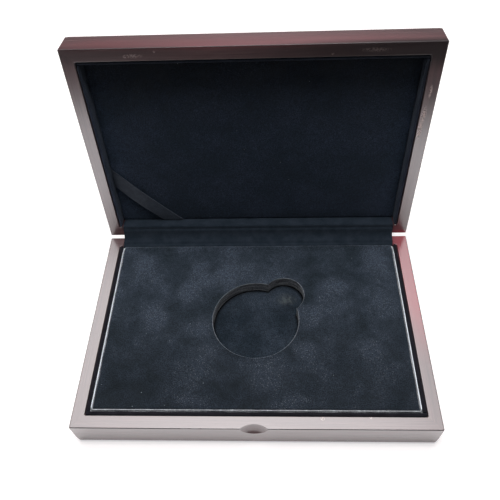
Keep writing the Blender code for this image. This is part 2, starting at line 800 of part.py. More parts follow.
def build():
    clear_scene()
    wood = material("lacquered_mahogany", (0.075, 0.022, 0.020), 0.30)
    board = material("unfinished_board", (0.20, 0.12, 0.07), 0.75)
    velvet = material("blue_black_velvet", (0.020, 0.026, 0.036), 0.95)
    lining = material("lining_cloth", (0.030, 0.034, 0.042), 0.90)
    foam = material("grey_foam", (0.045, 0.042, 0.040), 0.95)
    card = material("card", (0.06, 0.06, 0.07), 0.85)
    silver = material("silver_cord", (0.55, 0.57, 0.60), 0.45)
    felt = material("black_felt", (0.015, 0.015, 0.017), 0.95)
    brass = material("plated_brass", (0.62, 0.50, 0.25), 0.30, 1.0)
    steel = material("steel", (0.55, 0.55, 0.56), 0.30, 1.0)

    base_walls = base_frame(wood)
    thumb_scoop(base_walls["front"])
    cut_for_hinges(base_walls["back"], -1, "base")
    underside(board, felt)
    linings("base", BASE_LINING, CAVITY_FLOOR, RIM + BASE_LINING_PROUD, lining)
    tray(velvet, foam, silver)

    lid_pieces, lid_back_wall = lid_frame(wood)
    cut_for_hinges(lid_back_wall, 1, "lid")
    lid_pieces += linings(
        "lid", LID_LINING, LID_RIM + LID_LINING_SETBACK, LID_BOARD_BASE - FIT, lining
    )
    lid_pieces += lid_pad(velvet, card)
    lid_pieces.append(certificate_ribbon(lining))

    own_outer = range(0, KNUCKLES, 2)
    own_inner = range(1, KNUCKLES, 2)
    for place, centre in hinge_places():
        hinge_leaf(f"hinge_base_leaf_{place}", centre, -1, own_outer, brass)
        lid_pieces.append(hinge_leaf(f"hinge_lid_leaf_{place}", centre, 1, own_inner, brass))
        hinge_pin(f"hinge_pin_{place}", centre, steel)
    screws("base", -1, steel)
    lid_pieces += screws("lid", 1, steel)

    hinge_flap(lining)
    swing_open(lid_pieces)


build()
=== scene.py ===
import math

import bmesh
import bpy
from mathutils import Matrix, Vector, noise

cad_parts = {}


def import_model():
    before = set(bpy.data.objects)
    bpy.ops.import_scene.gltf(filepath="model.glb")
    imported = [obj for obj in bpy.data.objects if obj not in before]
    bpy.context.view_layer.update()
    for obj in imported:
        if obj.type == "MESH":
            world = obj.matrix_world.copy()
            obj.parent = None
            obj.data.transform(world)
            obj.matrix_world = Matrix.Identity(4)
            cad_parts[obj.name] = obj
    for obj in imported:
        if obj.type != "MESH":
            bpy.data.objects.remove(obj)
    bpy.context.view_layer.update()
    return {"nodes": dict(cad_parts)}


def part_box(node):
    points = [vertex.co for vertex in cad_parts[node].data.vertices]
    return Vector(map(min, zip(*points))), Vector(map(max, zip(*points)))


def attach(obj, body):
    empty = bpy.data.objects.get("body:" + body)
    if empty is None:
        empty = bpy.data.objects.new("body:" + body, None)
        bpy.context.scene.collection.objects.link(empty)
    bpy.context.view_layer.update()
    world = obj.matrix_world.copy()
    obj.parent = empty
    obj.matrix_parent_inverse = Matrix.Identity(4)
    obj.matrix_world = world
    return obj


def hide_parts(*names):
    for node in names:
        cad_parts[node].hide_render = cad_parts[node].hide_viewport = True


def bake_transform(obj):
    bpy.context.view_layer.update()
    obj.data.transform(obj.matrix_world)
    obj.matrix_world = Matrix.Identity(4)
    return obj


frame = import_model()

MM = 0.001

# Case, in metres. The lid is made shut, then swung open about the hinge.
HALF_X, HALF_Y, WALL = 0.090, 0.0595, 0.0065
INNER_X, INNER_Y = HALF_X - WALL, HALF_Y - WALL
FOOT, RIM, CAVITY_FLOOR = 0.0003, 0.018, 0.0045
LID_RIM, LID_TOP, LID_CEILING, LID_JOINT = 0.0183, 0.0335, 0.0285, 0.02835
BASE_ROUNDING, LID_ROUNDING, ARRIS = 0.0015, 0.0016, 0.0004
OUTER_CORNER, INNER_CORNER, REBATE = 0.00045, 0.0010, 0.0022
RING_GAP = 0.00005
AXIS = Vector((0, 0.0605, 0.01815))
OPEN_ANGLE = math.radians(96.8)
FIT = 0.0003

# Hinges and the cloth flap over them
RELIEF_X, RELIEF_RISE, MORTISE_RISE = 0.0817, 0.00095, 0.0020
HINGE_X, HINGE_LENGTH, LEAF_REACH, KNUCKLE = 0.054, 0.024, 0.0064, 0.00175
SCREW_Y, SCREW_SPACING = 0.05625, 0.014
FLAP_X, FLAP_THICKNESS, FLAP_COVE = 0.0813, 0.0005, 0.0054
FLAP_FROM_AXIS, FLAP_FROM_WALL = 0.0004, 0.00055

# Tray
TRAY_X, TRAY_FRONT, TRAY_BACK = 0.0813, -0.0508, 0.0519
TRAY_TOP, FOAM_TOP, RECESS_FLOOR, RISER_TOP = 0.0182, 0.0173, 0.0106, 0.0097
RECESS_Y, RECESS_RADIUS, NOTCH_RADIUS, NOTCH_OFFSET = 0.00145, 0.0235, 0.01125, 0.0222
CORD_RADIUS, CORD_CORNER = 0.0005, 0.0012

# Lid pad and ribbon
PAD_X, PAD_FRONT, PAD_FACE, PAD_THICKNESS = 0.0817, -0.0512, 0.0243, 0.0022
RIBBON_WIDTH, RIBBON_ALONG_SIDE, RIBBON_ALONG_BACK, RIBBON_BOW = 0.0086, 0.0327, 0.0312, 0.0012

SWING = (
    Matrix.Translation(AXIS) @ Matrix.Rotation(-OPEN_ANGLE, 4, "X") @ Matrix.Translation(-AXIS)
)

# Scuffs: where they lie on the open case, and their half sizes
SCUFFS = [
    (tuple(SWING @ Vector((x, y, LID_RIM))), (along, 0.0010, across), strength)
    for x, y, along, across, strength in (
        (-0.0550, -0.0556, 0.0056, 0.0014, 0.30), (-0.0588, -0.0554, 0.0014, 0.0012, 0.30),
        (-0.0448, -0.0575, 0.0007, 0.0008, 0.50), (0.0380, -0.0546, 0.0008, 0.0007, 0.30),
        (0.0575, -0.0562, 0.0090, 0.0014, 0.14), (0.0849, -0.0130, 0.0017, 0.0190, 1.0),
        (0.0855, -0.0215, 0.0015, 0.0090, 1.0), (0.0864, -0.0345, 0.0010, 0.0052, 0.7),
    )
] + [
    ((0.0330, -0.0540, RIM), (0.0016, 0.0013, 0.0010), 0.5),
    ((0.0560, -0.0535, RIM), (0.0011, 0.0008, 0.0010), 0.4),
    ((-0.0800, 0.0150, RIM), (0.0010, 0.0030, 0.0010), 0.3),
]


# Meshes and nodes

def added(name, data):
    """An object in the scene with the given mesh, curve, lamp or camera."""
    made = bpy.data.objects.new(name, data)
    bpy.context.scene.collection.objects.link(made)
    return made


def mesh_of(name, form, outward=True):
    if outward:
        bmesh.ops.recalc_face_normals(form, faces=form.faces)
    mesh = bpy.data.meshes.new(name)
    form.to_mesh(mesh)
    form.free()
    return mesh


class Graph:
    """A node tree, and short ways to add nodes to it."""

    def __init__(self, tree):
        self.nodes, self.links = tree.nodes, tree.links

    def feed(self, socket, value):
        """Give a socket a constant or another node's output."""
        if isinstance(value, bpy.types.NodeSocket):
            self.links.new(value, socket)
        elif socket.type == "RGBA":
            socket.default_value = (*value, 1)
        else:
            socket.default_value = value

    def add(self, kind, inputs=(), **settings):
        """A new node. A kind that names no family of its own is a shader node."""
        made = self.nodes.new(kind if "Node" in kind else "ShaderNode" + kind)
        for setting, value in settings.items():
            setattr(made, setting, value)
        for socket, value in dict(inputs).items():
            self.feed(made.inputs[socket], value)
        return made

    def node(self, kind, inputs=(), output=0, **settings):
        """One output of a new node."""
        return self.add(kind, inputs, **settings).outputs[output]

    def maths(self, operation, first, second=0.0, clamp=False):
        return self.node("Math", {0: first, 1: second}, operation=operation, use_clamp=clamp)

    def vectors(self, operation, first, second=(0, 0, 0), output=0):
        return self.node("VectorMath", {0: first, 1: second}, output, operation=operation)

    def chain(self, operation, first, *rest):
        for value in rest:
            first = self.maths(operation, first, value)
        return first

    def plus(self, *values):
        return self.chain("ADD", *values)

    def times(self, *values):
        return self.chain("MULTIPLY", *values)

    def most(self, *values):
        return self.chain("MAXIMUM", *values)

    def weighed(self, *pairs):
        """The sum of values times their weights."""
        return self.plus(*(self.times(value, weight) for value, weight in pairs))

    def ramp(self, value, low, high, start=0.0, end=1.0, easing="LINEAR"):
        inputs = {"Value": value, "From Min": low, "From Max": high, "To Min": start, "To Max": end}
        return self.node("MapRange", inputs, interpolation_type=easing)

    def fade(self, *run):
        """A ramp with soft ends."""
        return self.ramp(*run, easing="SMOOTHSTEP")


# Camera, floor and light

def camera():
    """The view of the photograph, solved from the case's own edges."""
    data = bpy.data.cameras.new("view")
    data.lens, data.sensor_width = 39.4416, 36
    data.clip_start, data.clip_end = 0.01, 20
    made = added("view", data)
    made.location = (0.00979978, -0.15342311, 0.27678606)
    made.rotation_euler = [math.radians(turn) for turn in (38.09423, 2.16073, 1.16637)]
    bpy.context.scene.camera = made


def softbox(name, place, width, depth, power, spread=180):
    """A soft rectangular lamp aimed at the case."""
    data = bpy.data.lights.new(name, "AREA")
    data.shape, data.size, data.size_y = "RECTANGLE", width, depth
    data.energy, data.spread = power, math.radians(spread)
    made = added(name, data)
    made.location = place
    way = Vector((0, 0, 0.02)) - Vector(place)
    made.rotation_euler = way.to_track_quat("-Z", "Y").to_euler()


def bare_finish(name):
    """A material with an empty node tree."""
    finish = bpy.data.materials.new(name)
    finish.use_nodes = True
    finish.node_tree.nodes.clear()
    return finish, Graph(finish.node_tree)


def staged(name, half, near, far, finish, only_mirrored=False):
    """A flat card on the stage, from one (y, z) to another."""
    form = bmesh.new()
    corners = ((-half, *near), (half, *near), (half, *far), (-half, *far))
    form.faces.new([form.verts.new(corner) for corner in corners])
    mesh = mesh_of(name, form, False)
    mesh.materials.append(finish)
    card = added(name, mesh)
    if only_mirrored:
        card.visible_camera = card.visible_diffuse = card.visible_shadow = False


def floor():
    """A pale sweep that keeps the case's shadow. Its front darkens, but only in reflections."""
    finish, g = bare_finish("white_sweep")
    place = g.node("NewGeometry", output="Position")
    across, away, _ = g.add("SeparateXYZ", {"Vector": place}).outputs
    aside = g.maths("ABSOLUTE", across)
    ray = g.add("LightPath").outputs
    looked_at, mirrored = ray["Is Camera Ray"], ray["Is Glossy Ray"]
    front = g.fade(g.plus(away, g.times(across, -0.14)), -0.235, -0.112)
    pale_mirrored = g.times(mirrored, front)
    seen = g.plus(looked_at, pale_mirrored, ray["Is Transmission Ray"])

    # In reflections it is dim against the case, bright beside it, and fades far out
    beside = g.ramp(aside, 0.092, 0.125)
    contact = g.ramp(g.maths("ABSOLUTE", away), 0.0590, 0.0662, 0.25, 1.25)
    boost = g.ramp(away, -0.060, 0.0, 1.8, 2.7)
    level = g.plus(g.times(beside, boost), g.most(contact, beside))
    for value, start, end in ((away, 0.100, 0.190), (aside, 0.190, 0.400)):
        level = g.times(level, g.ramp(value, start, end, 1.0, 0.35))
    level = g.plus(g.times(g.plus(level, -1.0), mirrored), 1.0)

    # To the eye it turns plain white away from the case
    far = g.ramp(g.vectors("LENGTH", place, output="Value"), 0.30, 1.20, 0.0, 0.75)
    lift = g.plus(g.times(looked_at, far), g.times(seen, 0.50, level))
    diffuse = g.node("BsdfDiffuse", {"Color": (0.80, 0.765, 0.735)})
    glow = g.node("Emission", {"Color": (0.97, 0.955, 1.0), "Strength": lift})
    pale = g.node("AddShader", {0: diffuse, 1: glow})
    dark = g.node("BsdfDiffuse", {"Color": (0.02, 0.02, 0.02)})
    hidden = g.maths("SUBTRACT", mirrored, pale_mirrored)
    g.add("OutputMaterial", {"Surface": g.node("MixShader", {0: hidden, 1: pale, 2: dark})})
    staged("floor", 4, (-0.30, 0), (5, 0), finish)


def flag(name, half, near, far, level):
    """A card that only reflections see, brightest at its middle."""
    finish, g = bare_finish(name)
    place = g.node("NewGeometry", output="Position")
    aside = g.maths("ABSOLUTE", g.node("SeparateXYZ", {"Vector": place}))
    glow = g.node("Emission", {"Strength": g.ramp(aside, 0.1, 0.6, level, level * 0.45)})
    g.add("OutputMaterial", {"Surface": glow})
    staged(name, half, near, far, finish, only_mirrored=True)


def world():
    """White to the eye and to reflections, and a dim even fill for everything else."""
    made = bpy.data.worlds.new("studio")
    made.use_nodes = True
    g = Graph(made.node_tree)
    ray = g.add("LightPath").outputs
    seen = ray["Is Camera Ray"]
    for kind in ("Is Glossy Ray", "Is Transmission Ray"):
        seen = g.maths("ADD", seen, ray[kind], True)
    background = g.nodes["Background"].inputs
    g.feed(background["Color"], (1, 1, 1))
    g.feed(background["Strength"], g.ramp(seen, 0, 1, 0.06, 1.0))
    bpy.context.scene.world = made


camera()
floor()
flag("front_flag", 4, (-0.30, -0.001), (-4, -0.001), 0.02)
flag("back_flag", 2, (1.5, 0.02), (1.5, 1.15), 0.34)
flag("room", 4, (-1.2, 0), (-1.2, 1.2), 0.22)
world()
softbox("key", (-0.08, 0.38, 1.00), 1.00, 0.85, 3.20, 118)
softbox("top", (0, -0.04, 1.10), 0.60, 0.24, 6.3)
bpy.context.scene.view_settings.view_transform = "Standard"


# Finishes

class Finish(Graph):
    """A procedural finish: one Principled shader and the nodes that feed it."""

    def __init__(self, name, **constants):
        self.material = bpy.data.materials.new(name)
        self.material.use_nodes = True
        super().__init__(self.material.node_tree)
        self.shader = self.nodes["Principled BSDF"].inputs
        coordinates = self.add("TexCoord").outputs
        self.place, self.uv = coordinates["Object"], coordinates["UV"]
        for socket, value in constants.items():
            self.feed(self.shader[socket.replace("_", " ")], value)

    def attribute(self, name, output="Fac"):
        return self.node("Attribute", {}, output, attribute_name=name)

    def stretched(self, vector, scale, shift=(0, 0, 0)):
        return self.node("Mapping", {"Vector": vector, "Location": shift, "Scale": scale})

    def noise(self, vector, size, detail=3.0, roughness=0.5, distortion=0.0):
        """Soft noise, 0 to 1, whose blotches are about size metres across."""
        inputs = {
            "Vector": vector, "Scale": 1 / size, "Detail": detail, "Roughness": roughness,
            "Distortion": distortion,
        }
        return self.node("TexNoise", inputs)

    def waves(self, vector, axis, **settings):
        inputs = {"Vector": vector, **settings}
        return self.node("TexWave", inputs, "Fac", bands_direction=axis)

    def cells(self, vector, size):
        return self.node("TexVoronoi", {"Vector": vector, "Scale": 1 / size}, "Distance")

    def warped(self, vector, size, amount):
        """A place pulled about by noise, so that what is laid out on it loses its true edge."""
        pull = self.node("TexNoise", {"Vector": vector, "Scale": 1 / size, "Detail": 1.0}, "Color")
        pull = self.vectors("SUBTRACT", pull, (0.5, 0.5, 0.5))
        return self.vectors("ADD", self.vectors("MULTIPLY", pull, (amount,) * 3), vector)

    def spot(self, vector, centre, reach, inner, strength=1.0):
        """Strength inside an ellipsoid of the given half sizes, fading to 0 at its edge."""
        scaled = self.vectors("DIVIDE", self.vectors("SUBTRACT", vector, centre), reach)
        far = self.vectors("LENGTH", scaled, output="Value")
        return self.times(self.fade(far, inner, 1.0, 1.0, 0.0), strength)

    def painted_light_slopes(self, runs):
        """Painted light and shade that change along straight lines, each a direction and a fade."""
        return self.times(1.0, *(
            self.fade(self.vectors("DOT_PRODUCT", self.place, direction, "Value"), *run)
            for direction, *run in runs
        ))

    def mix(self, factor, first, second, blend="MIX"):
        """Blend two colours."""
        inputs = {0: factor, 6: first, 7: second}
        return self.node("Mix", inputs, 2, data_type="RGBA", blend_type=blend)

    def shaded(self, colour, shade):
        return self.mix(1.0, colour, shade, "MULTIPLY")

    def grade(self, factor, stops):
        """A colour ramp through stops of (position, colour)."""
        ramp = self.add("ValToRGB", {"Fac": factor})
        band = ramp.color_ramp
        while len(band.elements) < len(stops):
            band.elements.new(0.5)
        for element, (position, colour) in zip(band.elements, stops):
            element.position, element.color = position, (*colour, 1)
        return ramp.outputs["Color"]

    def bump(self, height, distance, strength=1.0, below=None):
        """Surface relief of the given depth in metres."""
        inputs = {"Height": height, "Distance": distance, "Strength": strength}
        if below is not None:
            inputs["Normal"] = below
        return self.node("Bump", inputs)

    def wear(self, colour, roughness, normal):
        """Connect what feeds the shader and return the material."""
        for name, value in (("Base Color", colour), ("Roughness", roughness), ("Normal", normal)):
            self.feed(self.shader[name], value)
        return self.material


def lacquered_mahogany():
    """Dark red-brown wood under satin lacquer, its grain along each board."""
    f = Finish(
        "lacquered_mahogany", IOR=1.6, Specular_IOR_Level=0.30, Coat_Roughness=0.20,
        Coat_IOR=2.0, Coat_Tint=(0.985, 0.962, 1.0),
    )
    board, arris = f.attribute("grain", "Vector"), f.attribute("arris")
    figure = f.noise(f.stretched(board, (1, 14, 14)), 0.050, 4, 0.55, 0.4)
    streak = f.noise(f.stretched(board, (1, 40, 40)), 0.024, 5, 0.60)
    pores = f.noise(f.stretched(board, (1, 26, 26)), 0.0040, 2, 0.50)
    colour = f.grade(f.weighed((figure, 0.55), (streak, 0.45)), [
        (0.30, (0.050, 0.019, 0.021)), (0.50, (0.082, 0.034, 0.036)), (0.72, (0.120, 0.058, 0.057)),
    ])
    for redder in (
        ((0.0, 0.081, 0.1392), (0.150, 0.030, 0.0045), 0.35, 0.32),
        ((-0.072, 0.079, 0.1392), (0.034, 0.024, 0.0045), 0.35, 0.10),
        ((0.088, 0.042, 0.0185), (0.012, 0.075, 0.0045), 0.35, 0.80),
    ):
        colour = f.mix(f.spot(f.place, *redder), colour, (0.36, 0.030, 0.050))
    # Painted shade: the open lid's far end is darkened, and its coat thinned, in two patches.
    dim = f.most(
        f.spot(f.place, (0.090, 0.0735, 0.135), (0.120, 0.007, 0.014), 0.3, 0.95),
        f.spot(f.place, (-0.085, 0.0735, 0.137), (0.075, 0.007, 0.010), 0.3, 0.55),
    )
    colour = f.mix(dim, colour, (0.012, 0.005, 0.006))
    colour = f.mix(f.fade(pores, 0.62, 0.74, 0, 0.40), colour, (0.024, 0.010, 0.011))
    rub = f.noise(f.place, 0.0009, 4, 0.70, 0.5)
    scuff = f.most(*(
        f.times(f.spot(f.place, centre, reach, 0.25), f.fade(rub, 0.44, 0.53, 0, strength))
        for centre, reach, strength in SCUFFS
    ))
    colour = f.mix(f.times(scuff, 0.85), colour, (0.74, 0.57, 0.53))
    colour = f.mix(f.times(arris, 0.90), colour, (0.012, 0.006, 0.008))
    # The coat thins where worn bare and where shade is painted.
    bare_and_shaded = f.most(arris, f.times(scuff, 0.8), f.times(dim, 0.75))
    f.feed(f.shader["Coat Weight"], f.fade(bare_and_shaded, 0.0, 1.0, 1.0, 0.12))
    f.feed(f.shader["Coat Normal"], f.bump(streak, 0.000006, 0.5))
    roughness = f.plus(f.fade(streak, 0.35, 0.70, 0.30, 0.42), f.times(scuff, 0.2))
    roughness = f.maths("ADD", roughness, f.times(arris, 0.30), True)
    return f.wear(colour, roughness, f.bump(pores, 0.000010, 0.5, f.bump(streak, 0.000012, 0.6)))


def velvet(name, dark, light, cloud=0.24, painted_light_slopes=(), dust=0.5, lint=1.0, patch=None, raised=()):
    """Short-pile velvet: cloudy where the pile leans, with dust, lint and pale cut edges. Painted
    light and shade fall along the given slopes, and painted shade where the mesh marks it.
    """
    f = Finish(
        name, IOR=1.4, Sheen_Weight=0.22, Sheen_Roughness=0.5, Sheen_Tint=(0.55, 0.68, 0.90),
        Specular_IOR_Level=0.2,
    )
    broad = f.noise(f.place, 0.0210, 1, 0.40, 0.3)
    lean = f.noise(f.stretched(f.place, (1, 1, 1), (0.3, 0.1, 0)), 0.0080, 2, 0.50, 0.4)
    tuft = f.noise(f.place, 0.0020, 3, 0.60, 0.3)
    pile = f.noise(f.place, 0.00055, 2, 0.65)
    tone = f.weighed((broad, 0.50), (lean, 0.50))
    for centre, reach in raised:
        tone = f.plus(tone, f.spot(f.warped(f.place, 0.012, 0.006), centre, reach, 0.0, 0.26))
    colour = f.mix(f.fade(tone, 0.5 - cloud, 0.5 + cloud), dark, light)
    # The given slopes paint light and shade onto the pile's own texture.
    shade = f.times(
        f.fade(pile, 0.34, 0.66, 0.52, 1.56), f.fade(tuft, 0.3, 0.7, 0.84, 1.16), f.painted_light_slopes(painted_light_slopes)
    )
    colour = f.shaded(colour, shade)

    # Lint lies here and there, dust where the pile is raised
    speck = f.fade(f.cells(f.stretched(f.place, (1, 1.6, 1.3)), 0.0042), 0.040, 0.075, lint, 0)
    speck = f.times(speck, f.fade(f.cells(f.place, 0.0200), 0.24, 0.38, 1, 0))
    powder = f.fade(f.cells(f.place, 0.00085), 0.12, 0.26, dust, 0)
    powder = f.times(powder, f.fade(tone, 0.48, 0.66))
    colour = f.mix(f.most(speck, powder), colour, (0.30, 0.33, 0.37))
    if patch:
        rubbed = f.times(f.spot(f.place, *patch, 0.1), f.fade(tuft, 0.38, 0.62, 0.15, 0.65))
        colour = f.mix(rubbed, colour, (0.088, 0.100, 0.098))
    edge = f.times(
        f.attribute("cut_edge"), f.fade(tuft, 0.36, 0.60, 0.55, 1.0),
        f.fade(pile, 0.30, 0.62, 0.60, 1.0),
    )
    colour = f.mix(edge, colour, (0.34, 0.37, 0.41))
    # Painted shade, near black, where the mesh marks it.
    colour = f.mix(f.attribute("painted_edge_shade"), colour, (0.002, 0.003, 0.004))
    relief = f.bump(pile, 0.00016, 0.8, f.bump(tuft, 0.00022, 0.35))
    return f.wear(colour, f.fade(lean, 0.3, 0.7, 0.82, 0.97), relief)


def lining_cloth(name, dark, light, painted_light_slopes=()):
    """Close-woven matt cloth pulled over a board."""
    f = Finish(
        name, Sheen_Weight=0.14, Sheen_Roughness=0.5, Sheen_Tint=(0.6, 0.72, 0.90),
        Specular_IOR_Level=0.12,
    )
    threads = [
        f.waves(f.place, axis, Scale=1 / 0.0021, Distortion=0.6, Detail=1.0) for axis in "XYZ"
    ]
    weave = f.times(f.plus(*threads), 0.333)
    cloud = f.noise(f.place, 0.006, 4, 0.6)
    fuzz = f.noise(f.place, 0.00025, 2, 0.6)
    colour = f.mix(f.fade(f.weighed((cloud, 0.55), (fuzz, 0.45)), 0.35, 0.65), dark, light)
    # Painted light and shade along the given slopes.
    if painted_light_slopes:
        colour = f.shaded(colour, f.painted_light_slopes(painted_light_slopes))
    return f.wear(colour, 0.92, f.bump(fuzz, 0.00012, 0.7, f.bump(weave, 0.00008, 0.6)))


def charcoal_foam():
    """Cut foam: open cells, a grainy cut face and thin layers where the blade stepped, with painted
    shade at the foot of the wall.
    """
    f = Finish("charcoal_foam", Specular_IOR_Level=0.2)
    layers = f.noise(f.stretched(f.place, (0.12, 0.12, 1.6)), 0.0011, 3, 0.6)
    grain = f.noise(f.place, 0.00035, 3, 0.65)
    colour = f.grade(f.weighed((layers, 0.5), (grain, 0.5)), [
        (0.36, (0.045, 0.048, 0.056)), (0.50, (0.225, 0.232, 0.250)), (0.64, (0.640, 0.660, 0.700)),
    ])
    height = f.node("SeparateXYZ", {"Vector": f.place}, "Z")
    # Painted shade: near black at the foot of the cut wall, by the recess floor.
    foot = f.fade(height, RECESS_FLOOR, RECESS_FLOOR + 0.9 * MM, 1, 0)
    colour = f.mix(foot, colour, (0.004, 0.004, 0.005))
    cells = f.cells(f.place, 0.00042)
    return f.wear(colour, 0.95, f.bump(cells, 0.00018, 0.8, f.bump(layers, 0.00020, 0.8)))


def silver_thread():
    """Metallised thread with fine filaments along each strand, with painted shade in dashes at the
    front.
    """
    f = Finish("silver_thread", Metallic=0.55, Specular_IOR_Level=0.6)
    filaments = f.noise(f.place, 0.00012, 2, 0.6)
    patches = f.noise(f.place, 0.0040, 3, 0.6)
    colour = f.mix(f.fade(filaments, 0.3, 0.7), (0.46, 0.49, 0.54), (0.84, 0.87, 0.91))
    colour = f.mix(f.fade(patches, 0.30, 0.45, 0.45, 0), colour, (0.20, 0.22, 0.26))
    front = f.fade(f.node("SeparateXYZ", {"Vector": f.place}, "Y"), -0.0497, -0.0490, 1, 0)
    dashes = f.noise(f.stretched(f.place, (1, 0, 0)), 0.0045, 3, 0.7)
    # Painted shade in dashes along the front, where the strands' highlights break up.
    painted_dash_shade = f.times(front, f.fade(dashes, 0.68, 0.46, 0.30, 0.72))
    colour = f.mix(painted_dash_shade, colour, (0.085, 0.090, 0.105))
    return f.wear(colour, f.fade(filaments, 0.3, 0.7, 0.30, 0.50), f.bump(filaments, 0.00003, 0.6))


def ribbon_weave():
    """Ribbed ribbon, paler in a band along both edges."""
    f = Finish(
        "ribbon_weave", Sheen_Weight=0.3, Sheen_Roughness=0.4, Sheen_Tint=(0.60, 0.72, 0.95),
        Specular_IOR_Level=0.4,
    )
    across = f.node("SeparateXYZ", {"Vector": f.uv}, "Y")
    from_middle = f.maths("ABSOLUTE", f.maths("SUBTRACT", across, 0.5))
    ribs = f.waves(f.uv, "X", Scale=34.0, Distortion=0.3)
    warp = f.waves(f.uv, "Y", Scale=9.0, Distortion=0.4)
    cloud = f.noise(f.place, 0.004, 3, 0.6)
    colour = f.mix(f.fade(cloud, 0.3, 0.7), (0.015, 0.021, 0.033), (0.027, 0.036, 0.052))
    colour = f.mix(f.fade(from_middle, 0.42, 0.46, 0, 0.35), colour, (0.060, 0.072, 0.092))
    return f.wear(colour, 0.70, f.bump(f.weighed((ribs, 0.7), (warp, 0.3)), 0.00010, 0.7))


def felt_cloth():
    f = Finish("black_felt", Sheen_Weight=0.4, Sheen_Roughness=0.6, Specular_IOR_Level=0.2)
    wool = f.noise(f.place, 0.0007, 5, 0.7, 1.2)
    colour = f.mix(f.fade(wool, 0.3, 0.7), (0.010, 0.010, 0.012), (0.030, 0.030, 0.034))
    return f.wear(colour, 0.96, f.bump(wool, 0.0002, 0.8))


def bare_board():
    """Pressed board, sanded and unfinished."""
    f = Finish("bare_board", Specular_IOR_Level=0.3)
    chips = f.noise(f.stretched(f.place, (1, 3, 6)), 0.0030, 5, 0.65, 0.5)
    colour = f.grade(chips, [(0.3, (0.15, 0.095, 0.055)), (0.7, (0.27, 0.18, 0.11))])
    return f.wear(colour, 0.80, f.bump(chips, 0.00006, 0.6))


def grey_card():
    f = Finish("grey_card", Specular_IOR_Level=0.3)
    pulp = f.noise(f.place, 0.0012, 5, 0.7)
    colour = f.mix(f.fade(pulp, 0.35, 0.65), (0.055, 0.055, 0.060), (0.085, 0.085, 0.090))
    return f.wear(colour, 0.85, f.bump(pulp, 0.00003, 0.5))


def hinge_metal(name, colour, worn, roughness):
    """Rolled sheet or drawn wire, brushed along the hinge and duller in blotches."""
    f = Finish(name, Metallic=1.0)
    brush = f.noise(f.stretched(f.place, (1, 30, 30)), 0.006, 3, 0.6)
    tarnish = f.noise(f.place, 0.003, 4, 0.6)
    shade = f.mix(f.fade(tarnish, 0.45, 0.70), colour, worn)
    brushed = f.fade(brush, 0.3, 0.7, roughness, roughness + 0.15)
    rough = f.plus(brushed, f.fade(tarnish, 0.45, 0.75, 0, 0.15))
    return f.wear(shade, rough, f.bump(brush, 0.00001, 0.6))


# Where the pile of the tray was pressed or brushed up: place and reach of each pale patch.
NAP = [
    ((x * MM, y * MM, TRAY_TOP), (1.7 * along * MM, 1.7 * across * MM, 0.02))
    for x, y, along, across in (
        (-56, 2, 7, 6), (-34, 31, 8, 9), (-40, 20, 6, 6), (-17, 30, 7, 8), (44, 22, 7, 6),
        (69, 38, 7, 9), (-28, -3, 6, 6), (-25, -18, 6, 6), (28, 4, 8, 8), (26, -17, 5, 5),
        (60, -18, 5, 6), (4, -32, 10, 8), (-66, 40, 6, 6), (-33, -45, 6, 3), (21, -45, 6, 3),
    )
]

WOOD = lacquered_mahogany()
# Painted light: the tray's velvet is darker at the front and lighter towards the back.
TRAY_VELVET = velvet(
    "tray_velvet_pile", (0.0070, 0.0120, 0.0165), (0.0385, 0.0495, 0.0690), 0.30,
    [((0, 1, 0), -0.050, 0.050, 0.60, 1.12)], 0.40, raised=NAP,
)
# Painted shade: the recess floor's velvet is darker than the tray's.
SHADED_RECESS_VELVET = velvet(
    "recess_velvet_pile", (0.006, 0.011, 0.017), (0.025, 0.034, 0.048), 0.20, (), 0.25, 0.3,
    ((0.0172, 0.0190, RECESS_FLOOR), (0.0075, 0.0055, 0.0030)),
)
# Painted shade darkens the pad towards the top of the open lid; a painted sheen lightens it towards
# both side edges.
PAD_VELVET = velvet(
    "lid_velvet_pile", (0.006, 0.012, 0.021), (0.016, 0.024, 0.042), 0.24,
    [((0, 0, 1), 0.080, 0.134, 1.0, 0.25)]
    + [((side, 0, 0), 0.064, 0.0815, 1.0, 1.5) for side in (1, -1)],
    0.08, 0.5,
)
LINING = lining_cloth("base_lining_cloth", (0.0050, 0.0046, 0.0070), (0.0150, 0.0135, 0.0185))
# Painted light and shade: the lid's lining is lighter by the rim, and darker deeper in, towards the
# top of the open lid and on the right.
LID_LINING = lining_cloth(
    "lid_lining_cloth", (0.016, 0.021, 0.036), (0.038, 0.047, 0.074),
    [
        ((0, 0.993, -0.118), 0.0580, 0.0633, 1.35, 0.80), ((0, 0, 1), 0.085, 0.134, 1.0, 0.30),
        ((1, 0, 0), 0.060, 0.078, 1.0, 0.65),
    ],
)
FLAP_CLOTH = lining_cloth("flap_cloth", (0.0095, 0.0160, 0.024), (0.0240, 0.0330, 0.047))
FOAM = charcoal_foam()
SILVER = silver_thread()
RIBBON = ribbon_weave()
FELT = felt_cloth()
BOARD = bare_board()
CARD = grey_card()
BRASS = hinge_metal("plated_hinge", (0.72, 0.60, 0.34), (0.40, 0.31, 0.16), 0.25)
STEEL = hinge_metal("hinge_steel", (0.62, 0.62, 0.63), (0.38, 0.37, 0.36), 0.28)


# Shaping

def settled(piece):
    """The piece's mesh with its modifiers applied. The piece itself is removed."""
    bpy.context.view_layer.update()
    evaluated = piece.evaluated_get(bpy.context.evaluated_depsgraph_get())
    mesh = bpy.data.meshes.new_from_object(evaluated)
    bpy.data.objects.remove(piece, do_unlink=True)
    return mesh


def finished(name, mesh, material, body, replaces=(), sharp=35):
    """Name a piece, dress it, hang it on its body and hide the nodes it stands for."""
    mesh.name = name
    mesh.materials.clear()
    mesh.materials.append(material)
    mesh.shade_smooth()
    mesh.set_sharp_from_angle(angle=math.radians(sharp))
    piece = added(name, mesh)
    if body:
        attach(piece, body)
    if replaces:
        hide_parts(*replaces)
    return piece


